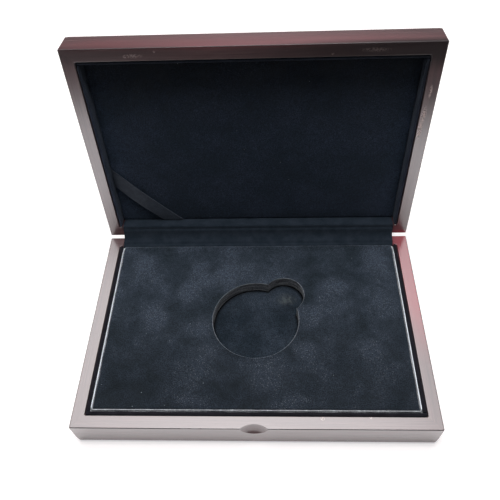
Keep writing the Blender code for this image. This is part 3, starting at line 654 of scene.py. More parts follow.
def arc(centre, radius, start, end, steps):
    """Points on an arc, in degrees, both ends included."""
    turns = [math.radians(start + (end - start) * n / steps) for n in range(steps + 1)]
    return [(centre[0] + radius * math.cos(t), centre[1] + radius * math.sin(t)) for t in turns]


def rounded_rectangle(low, high, corner, steps=6):
    """A rectangle's outline with rounded corners, from the right back corner to the left."""
    centres = (
        (high[0] - corner, high[1] - corner), (low[0] + corner, high[1] - corner),
        (low[0] + corner, low[1] + corner), (high[0] - corner, low[1] + corner),
    )
    outline = []
    for turn, centre in enumerate(centres):
        outline += arc(centre, corner, 90 * turn, 90 * turn + 90, steps)
    return outline


def spaced_out(outline, gap):
    """Points along a closed outline, about gap apart on its straight runs."""
    points = []
    for a, b in closed_pairs(outline):
        a, b = Vector(a), Vector(b)
        steps = max(1, round((b - a).length / gap))
        points += [a.lerp(b, n / steps) for n in range(steps)]
    return points


def closed_pairs(points):
    return zip(points, points[1:] + points[:1])


def eased(share):
    """A share held between 0 and 1, with soft ends."""
    share = min(1.0, max(0.0, share))
    return share * share * (3 - 2 * share)


def loft(rings, capped=True):
    """Join rings of equal length. Uncapped, the last ring joins the first."""
    form = bmesh.new()
    made = [[form.verts.new(point) for point in ring] for ring in rings]
    pairs = list(zip(made, made[1:]))
    if not capped:
        pairs.append((made[-1], made[0]))
    for lower, upper in pairs:
        for n in range(len(lower)):
            m = (n + 1) % len(lower)
            form.faces.new((lower[n], lower[m], upper[m], upper[n]))
    if capped:
        form.faces.new(made[0])
        form.faces.new(made[-1])
    return form


def mark_rings(mesh, name, count, values):
    """Keep a value for each of the first rings of a loft, and 0 for the rest."""
    mark = mesh.attributes.new(name, "FLOAT", "POINT")
    for index in range(len(values) * count):
        mark.data[index].value = values[index // count]


def sheet_form(columns, rows, place):
    """A grid with place(u, v) for its points and its own UV map."""
    form = bmesh.new()
    layer = form.loops.layers.uv.new("UVMap")
    grid = [
        [form.verts.new(place(u / columns, v / rows)) for u in range(columns + 1)]
        for v in range(rows + 1)
    ]
    for v in range(rows):
        for u in range(columns):
            corners = ((u, v), (u + 1, v), (u + 1, v + 1), (u, v + 1))
            face = form.faces.new([grid[b][a] for a, b in corners])
            for loop, (a, b) in zip(face.loops, corners):
                loop[layer].uv = (a / columns, b / rows)
    return form


def thickened(name, form, thickness):
    """A cloth's mesh from its middle surface."""
    cloth = added(name, mesh_of(name, form, False))
    thick = cloth.modifiers.new("cloth", "SOLIDIFY")
    thick.thickness, thick.offset = thickness, 0
    return settled(cloth)


def ripple(point, size, height, seed=0.0):
    """A smooth random rise, at most about height."""
    shifted = Vector((point[0] / size + seed, point[1] / size - seed, point[2] / size + 2 * seed))
    return noise.noise(shifted) * height


def cut(mesh, tools):
    """Cut a mesh with closed tool meshes."""
    piece = added("to_cut", mesh)
    blades = []
    for tool in tools:
        blade = added("blade", tool)
        blades.append(blade)
        step = piece.modifiers.new("cut", "BOOLEAN")
        step.object, step.operation, step.solver = blade, "DIFFERENCE", "EXACT"
    result = settled(piece)
    for blade in blades:
        bpy.data.objects.remove(blade, do_unlink=True)
    return result


def block(low, high, ease=0.0, segments=3):
    """A box from one corner to the other, with its edges rounded where ease is given."""
    form = bmesh.new()
    low, high = Vector(low), Vector(high)
    stretch = Matrix.Diagonal((*(high - low), 1))
    bmesh.ops.create_cube(form, size=1, matrix=Matrix.Translation((low + high) / 2) @ stretch)
    if ease:
        bmesh.ops.bevel(
            form, geom=list(form.edges), offset=ease, segments=segments, profile=0.5,
            affect="EDGES",
        )
    return form


def rod_tool(radius, start, end):
    form = bmesh.new()
    turn = Matrix.Rotation(math.pi / 2, 4, "Y")
    place = Matrix.Translation((Vector(start) + Vector(end)) / 2)
    bmesh.ops.create_cone(
        form, cap_ends=True, segments=48, radius1=radius, radius2=radius,
        depth=(Vector(end) - Vector(start)).length, matrix=place @ turn,
    )
    return mesh_of("rod_tool", form)


# Wooden shells

def shell_rings(section):
    """Rings of a mitred frame from its section, given as (inset, height, corner radius)."""
    rings = []
    for inset, height, corner in section:
        x, y = HALF_X - inset, HALF_Y - inset
        outline = rounded_rectangle((-x, -y), (x, y), corner)
        rings.append([(a, b, height) for a, b in outline])
    return rings


def rim_section(rim, way):
    """A rim with both edges eased, from outside to inside. Way is 1 where it faces up."""
    level, turn = rim - way * ARRIS, 180 - 90 * way
    outer = [(0, level - way * RING_GAP), *arc((ARRIS, level), ARRIS, 180, turn, 5)]
    outer.append((ARRIS + RING_GAP, rim))
    inner = [(WALL - ARRIS - RING_GAP, rim)]
    inner += arc((WALL - ARRIS, level), ARRIS, turn, turn - 90 * way, 5)
    inner.append((WALL, level - way * RING_GAP))
    return [(*p, OUTER_CORNER) for p in outer] + [(*p, INNER_CORNER) for p in inner]


def board_grain(mesh, top_board_from):
    """Keep for every corner where it lies on its own board: along, across and up."""
    grain = mesh.attributes.new("grain", "FLOAT_VECTOR", "CORNER")
    for face in mesh.polygons:
        centre = face.center
        side_board = HALF_X - abs(centre.x) < HALF_Y - abs(centre.y)
        if centre.z > top_board_from:
            side_board, shift = False, (0, 0, 7.2)
        elif side_board:
            shift = (0, 0, 0.75 if centre.x > 0 else 0.25)
        else:
            shift = (0.4 if centre.y > 0 else 0, 0, 0)
        for index in face.loop_indices:
            x, y, z = mesh.vertices[mesh.loops[index].vertex_index].co
            spot = (y, x, z) if side_board else (x, y, z)
            grain.data[index].vector = [a + b for a, b in zip(spot, shift)]


def arris_mark(mesh, rim, way):
    """Mark the eased edges on both sides of a rim, where the lacquer is thin and dark."""
    mark = mesh.attributes.new("arris", "FLOAT", "POINT")
    slack = 0.01 * MM
    for vertex in mesh.vertices:
        x, y, z = vertex.co
        inset = min(HALF_X - abs(x), HALF_Y - abs(y))
        on_edge = any(
            start + slack < inset < start + ARRIS - slack for start in (0, WALL - ARRIS)
        )
        mark.data[vertex.index].value = float(on_edge and slack < (rim - z) * way < ARRIS)


def hinge_tools(way):
    """The relief for the flap and the mortises for the hinges, in one back rim."""
    def rise(near, far):
        return sorted((AXIS.z + way * near, AXIS.z + way * far))

    def box(x0, y0, x1, heights):
        return mesh_of("box", block((x0, y0, heights[0]), (x1, HALF_Y + 2 * MM, heights[1])))

    tools = [box(-RELIEF_X, INNER_Y - 2 * MM, RELIEF_X, rise(-2 * MM, RELIEF_RISE))]
    for centre in (-HINGE_X, HINGE_X):
        reach = HINGE_LENGTH / 2 + FIT
        near, far = centre - reach, centre + reach
        tools.append(box(near, AXIS.y - LEAF_REACH - FIT, far, rise(0, MORTISE_RISE)))
        tools.append(rod_tool(KNUCKLE + FIT, (near, AXIS.y, AXIS.z), (far, AXIS.y, AXIS.z)))
    return tools


def scoop_tool():
    """The ball that hollows the thumb scoop out of the front rim."""
    chord, reach, drop = 0.0070, 0.0025, 0.0059
    before, above = (chord**2 - reach**2) / (2 * reach), (chord**2 - drop**2) / (2 * drop)
    radius = math.sqrt(chord**2 + before**2 + above**2)
    form = bmesh.new()
    bmesh.ops.create_uvsphere(
        form, u_segments=160, v_segments=80, radius=radius,
        matrix=Matrix.Translation((0, -HALF_Y - before, RIM + above)),
    )
    return mesh_of("scoop_tool", form)


def shell(half, section, tools, rim, way):
    """A half's frame in one piece, cut, marked and finished. The lid's has its top board."""
    lid = half == "lid"
    mesh = mesh_of(f"{half}_shell", loft(shell_rings(section), capped=lid))
    mesh = cut(mesh, tools)
    board_grain(mesh, LID_JOINT if lid else LID_TOP)
    arris_mark(mesh, rim, way)
    nodes = [f"{half}_{side}_wall" for side in ("front", "back", "left", "right")]
    if lid:
        mesh.transform(SWING)
        nodes.append("lid_top_board")
    finished(f"{half}_shell", mesh, WOOD, half, nodes)


def base_shell():
    """The base's frame: rounded foot, eased rim, thumb scoop and hinge cuts."""
    worn, reach = 1.2 * MM, 6 * MM
    section = [
        (a, b, OUTER_CORNER + worn * (1 - (b - FOOT) / reach) ** 2)
        for a, b in arc((BASE_ROUNDING, FOOT + BASE_ROUNDING), BASE_ROUNDING, 270, 180, 12)
    ]
    section.append((0, FOOT + reach, OUTER_CORNER))
    section += rim_section(RIM, 1)
    section += [
        (WALL, CAVITY_FLOOR, INNER_CORNER), (WALL - REBATE, CAVITY_FLOOR, OUTER_CORNER),
        (WALL - REBATE, FOOT, OUTER_CORNER), (BASE_ROUNDING + RING_GAP, FOOT, OUTER_CORNER),
    ]
    shell("base", section, [scoop_tool(), *hinge_tools(-1)], RIM, 1)


def lid_shell():
    """The lid's frame and top board, with the fine joint between them."""
    worn, groove, groove_depth = 1.7 * MM, 0.08 * MM, 0.12 * MM
    start = LID_TOP - LID_ROUNDING
    top = [(LID_ROUNDING + RING_GAP, LID_TOP)]
    top += arc((LID_ROUNDING, start), LID_ROUNDING, 90, 180, 12)
    section = [
        (a, b, OUTER_CORNER + worn * ((b - LID_JOINT) / (LID_TOP - LID_JOINT)) ** 2)
        for a, b in top
    ]
    section += [
        (0, start - RING_GAP, OUTER_CORNER), (0, LID_JOINT + groove, OUTER_CORNER),
        (groove_depth, LID_JOINT, OUTER_CORNER), (0, LID_JOINT - groove, OUTER_CORNER),
    ]
    section += rim_section(LID_RIM, -1)
    section.append((WALL, LID_CEILING, INNER_CORNER))
    shell("lid", section, hinge_tools(1), LID_RIM, -1)


# Linings

def lining_board(node, low, high, material, half):
    """A board wrapped in cloth: soft edges, and a top that isn't quite true."""
    name = f"{node}_cloth"
    size = Vector(high) - Vector(low)
    long = 0 if size.x > size.y else 1
    form = block(low, high, 0.42 * MM, 4)
    running = [
        e for e in form.edges
        if abs(e.verts[0].co[long] - e.verts[1].co[long]) > size[long] / 2
    ]
    bmesh.ops.subdivide_edges(form, edges=running, cuts=70, use_grid_fill=True)
    mesh = mesh_of(name, form)
    for vertex in mesh.vertices:
        vertex.co.z += ripple(vertex.co, 5 * MM, 0.07 * MM, 3.1)
        vertex.co[1 - long] += ripple(vertex.co, 7 * MM, 0.05 * MM, 5.7)
    if half == "lid":
        mesh.transform(SWING)
    finished(name, mesh, material, half, [node])


def lining_boards():
    for half, thick, foot, top, material in (
        ("base", 0.0016, CAVITY_FLOOR, RIM + 0.1 * MM, LINING),
        ("lid", 0.0012, LID_RIM + 0.3 * MM, LID_CEILING - FIT, LID_LINING),
    ):
        x, y = INNER_X - FIT, INNER_Y - FIT
        side_front = -(y - thick - FIT)
        for side, low, high in (
            ("front", (-x, -y, foot), (x, -y + thick, top)),
            ("left", (-x, side_front, foot), (-x + thick, y, top)),
            ("right", (x - thick, side_front, foot), (x, y, top)),
        ):
            lining_board(f"{half}_lining_{side}", low, high, material, half)


# Tray

def keyhole(margin=0.0, count=240):
    """The recess's outline: a circle for the capsule with a finger notch let into its rim."""
    big, small = RECESS_RADIUS - margin, NOTCH_RADIUS - margin
    leave = math.acos((big**2 + NOTCH_OFFSET**2 - small**2) / (2 * big * NOTCH_OFFSET))
    meet = math.acos((small**2 + NOTCH_OFFSET**2 - big**2) / (2 * small * NOTCH_OFFSET))
    leave, meet = math.degrees(leave), math.degrees(meet)
    toward = math.radians(45)
    notch = (NOTCH_OFFSET * math.cos(toward), RECESS_Y + NOTCH_OFFSET * math.sin(toward))
    split = int(count * 0.78)
    body = arc((0, RECESS_Y), big, 45 + leave, 405 - leave, split)
    lobe = arc(notch, small, meet - 135, 225 - meet, count - split)
    return body[:-1] + lobe[:-1]


def beyond(outline, low, high):
    """For each point of an outline, the point of a rectangle in the same direction."""
    centre = Vector((0, RECESS_Y))
    made = []
    for point in outline:
        way = Vector(point) - centre
        reaches = []
        if way.x:
            reaches.append(((high[0] if way.x > 0 else low[0]) - centre.x) / way.x)
        if way.y:
            reaches.append(((high[1] if way.y > 0 else low[1]) - centre.y) / way.y)
        made.append(centre + way * min(r for r in reaches if r > 0))
    for corner in ((low[0], low[1]), (low[0], high[1]), (high[0], low[1]), (high[0], high[1])):
        nearest = min(made, key=lambda p: (p - Vector(corner)).length)
        nearest.x, nearest.y = corner
    return made


def tray_skin():
    """Velvet over the tray: glued flat, rolled under at the cord, cut open over the recess."""
    edge = keyhole()
    inset = 2 * CORD_RADIUS + FIT
    low = (-TRAY_X + inset, TRAY_FRONT + inset)
    high = (TRAY_X - inset, TRAY_BACK - 0.02 * MM)
    rim = beyond(edge, low, high)
    centre = Vector((0, RECESS_Y))
    under = FOAM_TOP + FIT

    def over_cord(y, reach=2.4):
        """How far the skin stands up where it is wrapped over the cord, at the back."""
        return 0.42 * MM * eased((y - TRAY_BACK) / (reach * MM) + 1.4)

    def between(share, z):
        ring = []
        for a, b in zip(edge, rim):
            place = Vector(a).lerp(b, share)
            level = z + ripple((*place, 0), 11 * MM, 0.10 * MM)
            level += ripple((*place, 3), 3 * MM, 0.035 * MM)
            ring.append((*place, level + over_cord(place.y)))
        return ring

    def lip(back, z):
        """The cut edge, drawn back from the recess and a little ragged."""
        ring = []
        for p in edge:
            ragged = 1 + ripple((*p, 0), 0.9 * MM, 0.9, 2.0)
            ring.append((*(centre + (Vector(p) - centre) * (1 + back / RECESS_RADIUS * ragged)), z))
        return ring

    rings = [
        lip(back * MM, z) for back, z in (
            (0.25, under), (0.02, under + 0.1 * MM), (0.0, under + 0.35 * MM),
            (0.06, TRAY_TOP - 0.10 * MM), (0.20, TRAY_TOP - 0.01 * MM),
        )
    ]
    shares = [0.007, 0.022, 0.05] + [0.05 + 0.93 * (n / 40) ** 1.1 for n in range(1, 40)] + [0.985]
    rings += [between(share, TRAY_TOP) for share in shares]
    rings.append([(*p, TRAY_TOP - 0.16 * MM + over_cord(p.y)) for p in rim])
    rings.append([(*p, under + 1.6 * over_cord(p.y)) for p in rim])
    inner = beyond(edge, low, (high[0], TRAY_BACK - 1.2 * MM))
    rings.append([(*p, under + 1.6 * over_cord(p.y, 1.2)) for p in inner])
    inner = beyond(edge, low, (high[0], TRAY_BACK - 2.4 * MM))
    rings.append([(*p.lerp(Vector(e), 0.01), under) for p, e in zip(inner, edge)])
    mesh = mesh_of("tray_skin", loft(rings, capped=False))
    mark_rings(mesh, "cut_edge", len(edge), (0.5, 0.9, 1.0, 0.9, 0.55))
    for vertex, mark in zip(mesh.vertices, mesh.attributes["cut_edge"].data):
        if vertex.co.y > TRAY_BACK - 0.1 * MM:
            mark.value = 0.30
    skin = finished("tray_skin", mesh, TRAY_VELVET, "base", ["tray_velvet"], 60)


def tray_block():
    """The foam block with the recess cut through it, its cut wall rough and stepped."""
    edge = keyhole(count=420)
    rim = beyond(edge, (-TRAY_X, TRAY_FRONT), (TRAY_X, TRAY_BACK))
    centre = Vector((0, RECESS_Y))
    bottom, top, levels = RISER_TOP + FIT, FOAM_TOP, 22
    rings = []
    for n in range(levels + 1):
        z = bottom + (top - bottom) * n / levels
        ring = []
        for p in edge:
            way = (Vector(p) - centre).normalized()
            step = ripple((p[0] * 0.15, p[1] * 0.15, z * 3), 1.1 * MM, 0.16 * MM, 4.0)
            rough = ripple((*p, z), 0.8 * MM, 0.14 * MM, 9.0)
            ring.append((*(Vector(p) + way * (0.14 * MM + step + rough)), z))
        rings.append(ring)
    rings += [[(*p, z) for p in rim] for z in (top, bottom)]
    mesh = mesh_of("tray_block", loft(rings, capped=False))
    finished("tray_block", mesh, FOAM, "base", ["tray_foam"], 80)


def riser_block():
    """The foam under the tray, with softened edges."""
    mesh = mesh_of("riser_block", block(*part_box("tray_riser_foam"), 0.3 * MM))
    finished("riser_block", mesh, FOAM, "base", ["tray_riser_foam"])


def recess_floor():
    """The loose-fitting velvet on the recess's floor, a little wrinkled by the notch."""
    outline = keyhole(FIT, 200)
    centre, notch = Vector((0, RECESS_Y)), Vector((0.0157, 0.01715))

    def ring(share, z, waves=True):
        made = []
        for p in outline:
            place = centre + (Vector(p) - centre) * share
            rise = 0.0
            if waves:
                near = math.exp(-((place - notch).length / (8 * MM)) ** 2)
                wrinkle = ripple((place.x * 1.6, place.y, 0), 2.6 * MM, 0.22 * MM)
                rise = ripple((*place, 0), 9 * MM, 0.09 * MM, 1.0)
                rise += near * (0.05 * MM + wrinkle)
            made.append((*place, z + rise))
        return made

    bottom, top = RECESS_FLOOR - 0.6 * MM, RECESS_FLOOR - 0.04 * MM
    rings = [
        ring(share, z, False) for share, z in (
            (0.02, bottom), (0.995, bottom), (1, bottom + 0.1 * MM), (1, RECESS_FLOOR - 0.15 * MM),
        )
    ]
    rings += [ring(share, top) for share in (0.992, 0.98)]
    rings += [ring(0.98 * (1 - n / 36), top) for n in range(1, 36)]
    mesh = mesh_of("recess_velvet", loft(rings))
    # Painted shade along the floor's edge, under the foam wall.
    mark_rings(mesh, "painted_edge_shade", len(outline), (0, 1, 1, 0.95, 0.85, 0.6, 0.1))
    floor_cloth = finished(
        "recess_velvet", mesh, SHADED_RECESS_VELVET, "base", ["recess_floor_velvet"], 60
    )


# Geometry Nodes

def node_tool(name, inputs, output):
    """An empty node tree with named inputs, of (label, kind, value), and one named output."""
    tree = bpy.data.node_groups.new(name, "GeometryNodeTree")
    for label, kind, *value in inputs:
        socket = tree.interface.new_socket(label, in_out="INPUT", socket_type=f"NodeSocket{kind}")
        if value:
            socket.default_value = value[0]
    tree.interface.new_socket(output, in_out="OUTPUT", socket_type="NodeSocketGeometry")
    g = Graph(tree)
    return tree, g, g.add("NodeGroupInput").outputs


def give_out(g, geometry, finish, output):
    """Make the geometry real, dress it and give it out."""
    real = g.node("GeometryNodeRealizeInstances", {"Geometry": geometry})
    dressed = g.node("GeometryNodeSetMaterial", {"Geometry": real, "Material": finish})
    g.add("NodeGroupOutput", {output: dressed})


def grown(name, source, tree, **inputs):
    """Run a tree on an object and keep the result as a plain mesh."""
    step = source.modifiers.new(name, "NODES")
    step.node_group = tree
    for item in tree.interface.items_tree:
        if item.item_type == "SOCKET" and item.in_out == "INPUT" and item.name in inputs:
            step[item.identifier] = inputs[item.name]
    source.update_tag()
    return settled(source)


# Silver cord, laid up from three strands along its path

def cord_tree():
    """Strands wound round a path at a given lay, each a round thread."""
    tree, g, given = node_tool("laid_cord", (
        ("Path", "Geometry"), ("Strand Radius", "Float", 0.00021),
        ("Strand Offset", "Float", 0.00018), ("Lay Length", "Float", 0.0030),
        ("Point Spacing", "Float", 0.00030), ("Strand Sides", "Int", 6), ("Finish", "Material"),
    ), "Cord")
    path = g.node(
        "GeometryNodeResampleCurve",
        {"Curve": given["Path"], "Length": given["Point Spacing"]}, mode="LENGTH",
    )
    travelled = g.node("GeometryNodeSplineParameter", output="Length")
    whole = g.node("GeometryNodeSplineLength", output="Length")
    turns = g.maths("ROUND", g.maths("DIVIDE", whole, given["Lay Length"]))
    angle = g.times(g.maths("DIVIDE", travelled, whole), turns, math.tau)
    side = g.vectors("CROSS_PRODUCT", g.node("GeometryNodeInputTangent"), (0.0, 0.0, 1.0))
    join = g.add("GeometryNodeJoinGeometry")
    profile = g.node("GeometryNodeCurvePrimitiveCircle", {
        "Resolution": given["Strand Sides"], "Radius": given["Strand Radius"],
    })
    for strand in range(3):
        phase = g.plus(angle, strand * math.tau / 3)
        out = g.times(g.maths("COSINE", phase), given["Strand Offset"])
        rise = g.times(g.maths("SINE", phase), given["Strand Offset"])
        sideways = g.node("VectorMath", {0: side, "Scale": out}, operation="SCALE")
        offset = g.vectors("ADD", sideways, g.node("CombineXYZ", {"Z": rise}))
        wound = g.node("GeometryNodeSetPosition", {"Geometry": path, "Offset": offset})
        thread = g.node("GeometryNodeCurveToMesh", {"Curve": wound, "Profile Curve": profile})
        g.links.new(thread, join.inputs[0])
    give_out(g, join.outputs[0], given["Finish"], "Cord")
    return tree


def silver_cord():
    """The laid silver cord round the tray, in the gap between velvet and lining."""
    low = (-TRAY_X + CORD_RADIUS, TRAY_FRONT + CORD_RADIUS)
    high = (TRAY_X - CORD_RADIUS, TRAY_BACK - CORD_RADIUS)
    spaced = spaced_out(rounded_rectangle(low, high, CORD_CORNER, 8), 3 * MM)
    curve = bpy.data.curves.new("cord_path", "CURVE")
    curve.dimensions = "3D"
    spline = curve.splines.new("POLY")
    spline.points.add(len(spaced) - 1)
    for point, (x, y) in zip(spline.points, spaced):
        # At the back it dips under the velvet
        under = min(1.0, max(0.0, (y - high[1] + 4 * MM) / (3 * MM)))
        rise = 0.30 * MM * (1 - under) - 0.05 * MM * under
        rise += ripple((x, y, 0), 12 * MM, 0.06 * MM, 6.0)
        point.co = (x, y, TRAY_TOP - 0.40 * MM + rise, 1)
    spline.use_cyclic_u = True
    mesh = grown("silver_cord", added("cord_path", curve), cord_tree(), Finish=SILVER)
    finished("silver_cord", mesh, SILVER, "base", ["silver_piping"], 70)


# Flap, pad and ribbon

def travel(line):
    """A line's length, and a function for the place and direction at a distance along it."""
    lengths = [0.0]
    for a, b in zip(line, line[1:]):
        lengths.append(lengths[-1] + (b - a).length)

    def at(wanted):
        n = 0
        while n < len(line) - 2 and lengths[n + 1] < wanted:
            n += 1
        share = (wanted - lengths[n]) / (lengths[n + 1] - lengths[n])
        return line[n].lerp(line[n + 1], share), (line[n + 1] - line[n]).normalized()

    return lengths[-1], at


def softened(line, width, count=160, window=14):
    """Even out a line's bends over about the given width."""
    whole, at = travel([Vector(p) for p in line])
    even = [at(whole * step / count)[0] for step in range(count + 1)]
    made = []
    for here in range(count + 1):
        total, weight = Vector((0, 0)), 0.0
        for there in range(max(0, here - window), min(count, here + window) + 1):
            pull = math.exp(-((here - there) * whole / count / width) ** 2)
            total, weight = total + even[there] * pull, weight + pull
        made.append(total / weight)
    made[0], made[-1] = even[0], even[-1]
    return made


def flap_line():
    """The flap's middle line, seen from the side, from inside the base up into the lid."""
    cove_reach = FLAP_COVE + FLAP_FROM_AXIS

    def half(tail):
        """From its tail up past the wall and along the rim, seen from the hinge's axis."""
        bend = arc((INNER_Y - AXIS.y, RELIEF_RISE), FLAP_FROM_WALL, 180, 270, 8)
        (first_y, first_z), (last_y, last_z) = bend[0], bend[-1]
        start = -cove_reach / math.tan(OPEN_ANGLE / 2)
        drop = [(first_y, tail + (first_z - tail) * n / 8) for n in range(8)]
        return drop + bend + [(last_y + (start - last_y) * n / 4, last_z) for n in range(1, 5)]

    base_half = [(y, -z) for y, z in half(0.0080)]
    turn = Matrix.Rotation(-OPEN_ANGLE, 2)
    lid_half = [tuple(turn @ Vector(p)) for p in half(LID_CEILING - FIT - AXIS.z)]
    middle = math.pi - OPEN_ANGLE / 2
    away = cove_reach / math.sin(OPEN_ANGLE / 2)
    centre = (away * math.cos(middle), away * math.sin(middle))
    sweep = math.degrees(math.pi - OPEN_ANGLE) / 2
    facing = math.degrees(middle) + 180
    cove = arc(centre, FLAP_COVE, facing - sweep, facing + sweep, 18)
    line = softened(base_half[:-1] + cove + lid_half[::-1][1:], 0.55 * MM)
    return [Vector((AXIS.y + y, AXIS.z + z)) for y, z in line]


def hinge_cover():
    """The cloth flap: coved over the hinges, with their bumps and a few slack creases."""
    total, at = travel(flap_line())
    half_x = FLAP_X - 0.02 * MM

    def place(u, v):
        spot, way = at(v * total)
        x = (2 * u - 1) * half_x
        crease = ripple((x, 0, v * 0.012), 9 * MM, 0.26 * MM, 0.7)
        crease += ripple((x, v * 0.02, 0), 3.2 * MM, 0.07 * MM, 1.9)
        bump = sum(
            0.30 * MM * math.exp(-((x - centre) / (5.5 * MM)) ** 2)
            for centre in (-HINGE_X, HINGE_X)
        )
        rise = eased(1 - abs(v - 0.50) / 0.16) * (crease + bump + 0.10 * MM)
        return (x, spot.x - way.y * rise, spot.y + way.x * rise)

    mesh = thickened("hinge_cover", sheet_form(220, 72, place), FLAP_THICKNESS)
    cover = finished("hinge_cover", mesh, FLAP_CLOTH, None, ["hinge_flap"], 60)
    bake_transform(cover)


def lid_cushion():
    """The lid's padded panel: a shallow crown, sides drawn in, and a surface not quite even."""
    mid_y, half_y = (PAD_FRONT + TRAY_BACK) / 2, (TRAY_BACK - PAD_FRONT) / 2
    back, steps = PAD_FACE + PAD_THICKNESS, 40

    def ring(share, z, inset=0.0, waves=True):
        made = []
        for a, b in closed_pairs([(1, 1), (-1, 1), (-1, -1), (1, -1)]):
            for n in range(steps):
                across, along = ((p + (q - p) * n / steps) * share for p, q in zip(a, b))
                x, y = across * (PAD_X - inset), mid_y + along * (half_y - inset)
                rise = 0.0
                if waves:
                    rise = 0.30 * MM * (1 - across**4) * (1 - along**4)
                    rise += ripple((x, y, 0), 26 * MM, 0.10 * MM, 8.0)
                    rise += ripple((x, y, 0), 6 * MM, 0.05 * MM, 2.5)
                made.append((x, y, z - rise))
        return made

    rings = [
        ring(share, z, inset * MM, False) for share, z, inset in (
            (0.02, back, 0.3), (1, back, 0.5), (1, back - 0.25 * MM, 0.15),
            (1, PAD_FACE + 0.55 * MM, 0.05), (1, PAD_FACE + 0.25 * MM, 0.22),
            (1, PAD_FACE + 0.14 * MM, 0.55),
        )
    ]
    rings += [ring(share, PAD_FACE + 1.2 * MM * (share - 0.9)) for share in (0.985, 0.965, 0.94)]
    rings += [ring(0.92 * (1 - n / 34), PAD_FACE) for n in range(34)]
    mesh = mesh_of("lid_cushion", loft(rings))
    mesh.transform(SWING)
    pad = finished("lid_cushion", mesh, PAD_VELVET, "lid", ["lid_pad"], 50)


def corner_ribbon():
    """The ribbon across the lid's hinge corner, bowed off the pad, its ends at the pad's edges."""
    side_end = Vector((-PAD_X + FIT, TRAY_BACK - RIBBON_ALONG_SIDE))
    back_end = Vector((-PAD_X + RIBBON_ALONG_BACK, TRAY_BACK - FIT))
    run = (back_end - side_end).normalized()
    along_side, along_back = RIBBON_WIDTH / 2 / run.x, RIBBON_WIDTH / 2 / run.y
    level = PAD_FACE - 0.6 * MM

    def place(u, v):
        across = 2 * v - 1
        start = side_end - Vector((0, along_side * across))
        end = back_end + Vector((along_back * across, 0))
        wave = ripple((u * 0.03, across * 0.002, 0), 6 * MM, 0.10 * MM, 4.4)
        rise = math.sin(math.pi * u) * (0.10 * MM * across * across + wave - RIBBON_BOW)
        return (*start.lerp(end, u), level + rise)

    mesh = thickened("corner_ribbon", sheet_form(90, 20, place), 0.36 * MM)
    mesh.transform(SWING)
    finished("corner_ribbon", mesh, RIBBON, "lid", ["certificate_ribbon"], 60)


# Underside, hinges and screws

def foot_felt():
    """Felt under the base, soft-edged and a little uneven."""
    low, high = (Vector(corner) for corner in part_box("underside_felt"))
    soft, edge = 0.25 * MM, 0.04 * MM

    def ring(inset, z):
        inside = Vector((inset, inset))
        outline = rounded_rectangle(low.xy + inside, high.xy - inside, 0.6 * MM, 4)
        made = []
        for spot in spaced_out(outline, 3 * MM):
            uneven = [ripple((*spot, way), 2 * MM, 0.06 * MM) for way in (1, 7)]
            made.append((*(spot + Vector(uneven)), z))
        return made

    rings = [ring(soft, low.z), ring(edge, low.z + soft), ring(edge, high.z - soft)]
    rings.append(ring(soft, high.z))
    least = min(len(r) for r in rings)
    mesh = mesh_of("foot_felt", loft([r[:least] for r in rings]))
    felt = finished("foot_felt", mesh, FELT, "base", ["underside_felt"], 60)


def eased_copy(node, name, material, body, ease):
    """A CAD piece with its doubles merged and its edges eased."""
    form = bmesh.new()
    form.from_mesh(frame["nodes"][node].data)
    bmesh.ops.remove_doubles(form, verts=form.verts, dist=0.001 * MM)
    bmesh.ops.dissolve_limit(
        form, angle_limit=math.radians(1), verts=form.verts, edges=form.edges
    )
    source = added(name, mesh_of(name, form, False))
    bevel = source.modifiers.new("ease", "BEVEL")
    bevel.width, bevel.segments, bevel.limit_method = ease, 2, "ANGLE"
    bevel.angle_limit = math.radians(40)
    finished(name, settled(source), material, body, [node], 40)


def hinges():
    for side in ("left", "right"):
        for half in ("base", "lid"):
            name = f"{half}_leaf_{side}"
            eased_copy(f"hinge_{name}", name, BRASS, half, 0.06 * MM)
        name = f"pin_{side}"
        eased_copy(f"hinge_{name}", name, STEEL, "base", 0.05 * MM)


def screw_mesh():
    """One countersunk screw with a slot, standing on its point, head level with the origin."""
    profile = [(1.18, 0.0), (1.30, -0.06), (0.64, -0.60)]
    for n in range(12):
        z = -0.80 - n * 0.25
        profile += [(0.60, z), (0.46, z - 0.08), (0.46, z - 0.17)]
    profile.append((0.40, -4.2))
    rings = [
        [(x * MM, y * MM, z * MM) for x, y in arc((0, 0), radius, 0, 360, 20)[:-1]]
        for radius, z in profile
    ]
    slot = block((-1.6 * MM, -0.16 * MM, -0.28 * MM), (1.6 * MM, 0.16 * MM, MM))
    return cut(mesh_of("screw", loft(rings)), [mesh_of("slot", slot)])


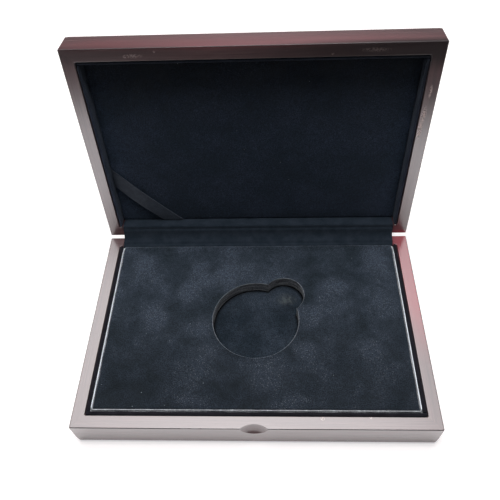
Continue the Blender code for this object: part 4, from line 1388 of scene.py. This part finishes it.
def fastener_tree():
    """A fastener at every point, each with its own turn of the slot."""
    tree, g, given = node_tool("set_fasteners", (
        ("Places", "Geometry"), ("Fastener", "Object"), ("Scale", "Float", 1.0),
        ("Slot Turn", "Float", 3.0), ("Seed", "Int", 7), ("Finish", "Material"),
    ), "Fasteners")
    fastener = g.node("GeometryNodeObjectInfo", {"Object": given["Fastener"]}, "Geometry")
    chance = g.add("FunctionNodeRandomValue", {"Seed": given["Seed"]}, data_type="FLOAT")
    least, most = [s for s in chance.inputs if s.type == "VALUE" and s.enabled][:2]
    g.feed(least, 0.0)
    g.feed(most, given["Slot Turn"])
    turn = g.node("CombineXYZ", {"Z": [s for s in chance.outputs if s.enabled][0]})
    placed = g.node("GeometryNodeInstanceOnPoints", {
        "Points": given["Places"], "Instance": fastener, "Rotation": turn,
        "Scale": given["Scale"],
    })
    give_out(g, placed, given["Finish"], "Fasteners")
    return tree


def screws():
    """Four slotted screws in each half's leaves."""
    tree, pattern = fastener_tree(), added("screw_pattern", screw_mesh())
    head = RELIEF_RISE + 0.02 * MM
    turned_over = Matrix.Translation((0, SCREW_Y, AXIS.z + head)) @ Matrix.Rotation(
        math.pi, 4, "X") @ Matrix.Translation((0, -SCREW_Y, 0))
    for half, seed, placed in (
        ("base", 7, Matrix.Translation((0, 0, AXIS.z - head))), ("lid", 12, SWING @ turned_over),
    ):
        points = bpy.data.meshes.new("screw_places")
        points.from_pydata([
            (centre + sign * SCREW_SPACING / 2, SCREW_Y, 0)
            for centre in (-HINGE_X, HINGE_X) for sign in (-1, 1)
        ], [], [])
        source = added("screw_places", points)
        mesh = grown("screws", source, tree, Fastener=pattern, Seed=seed, Finish=STEEL)
        mesh.transform(placed)
        nodes = [f"hinge_screw_{half}_{side}_{n}" for side in ("left", "right") for n in (1, 2)]
        finished(f"{half}_hinge_screws", mesh, STEEL, half, nodes, 40)
    bpy.data.objects.remove(pattern, do_unlink=True)


def carried_over():
    """CAD nodes whose shape is right get their finish."""
    for node, material in (("base_bottom_board", BOARD), ("lid_pad_card", CARD)):
        for slot in frame["nodes"][node].material_slots:
            slot.material = material


base_shell()
lid_shell()
lining_boards()
tray_block()
riser_block()
tray_skin()
recess_floor()
silver_cord()
hinge_cover()
lid_cushion()
corner_ribbon()
foot_felt()
hinges()
screws()
carried_over()
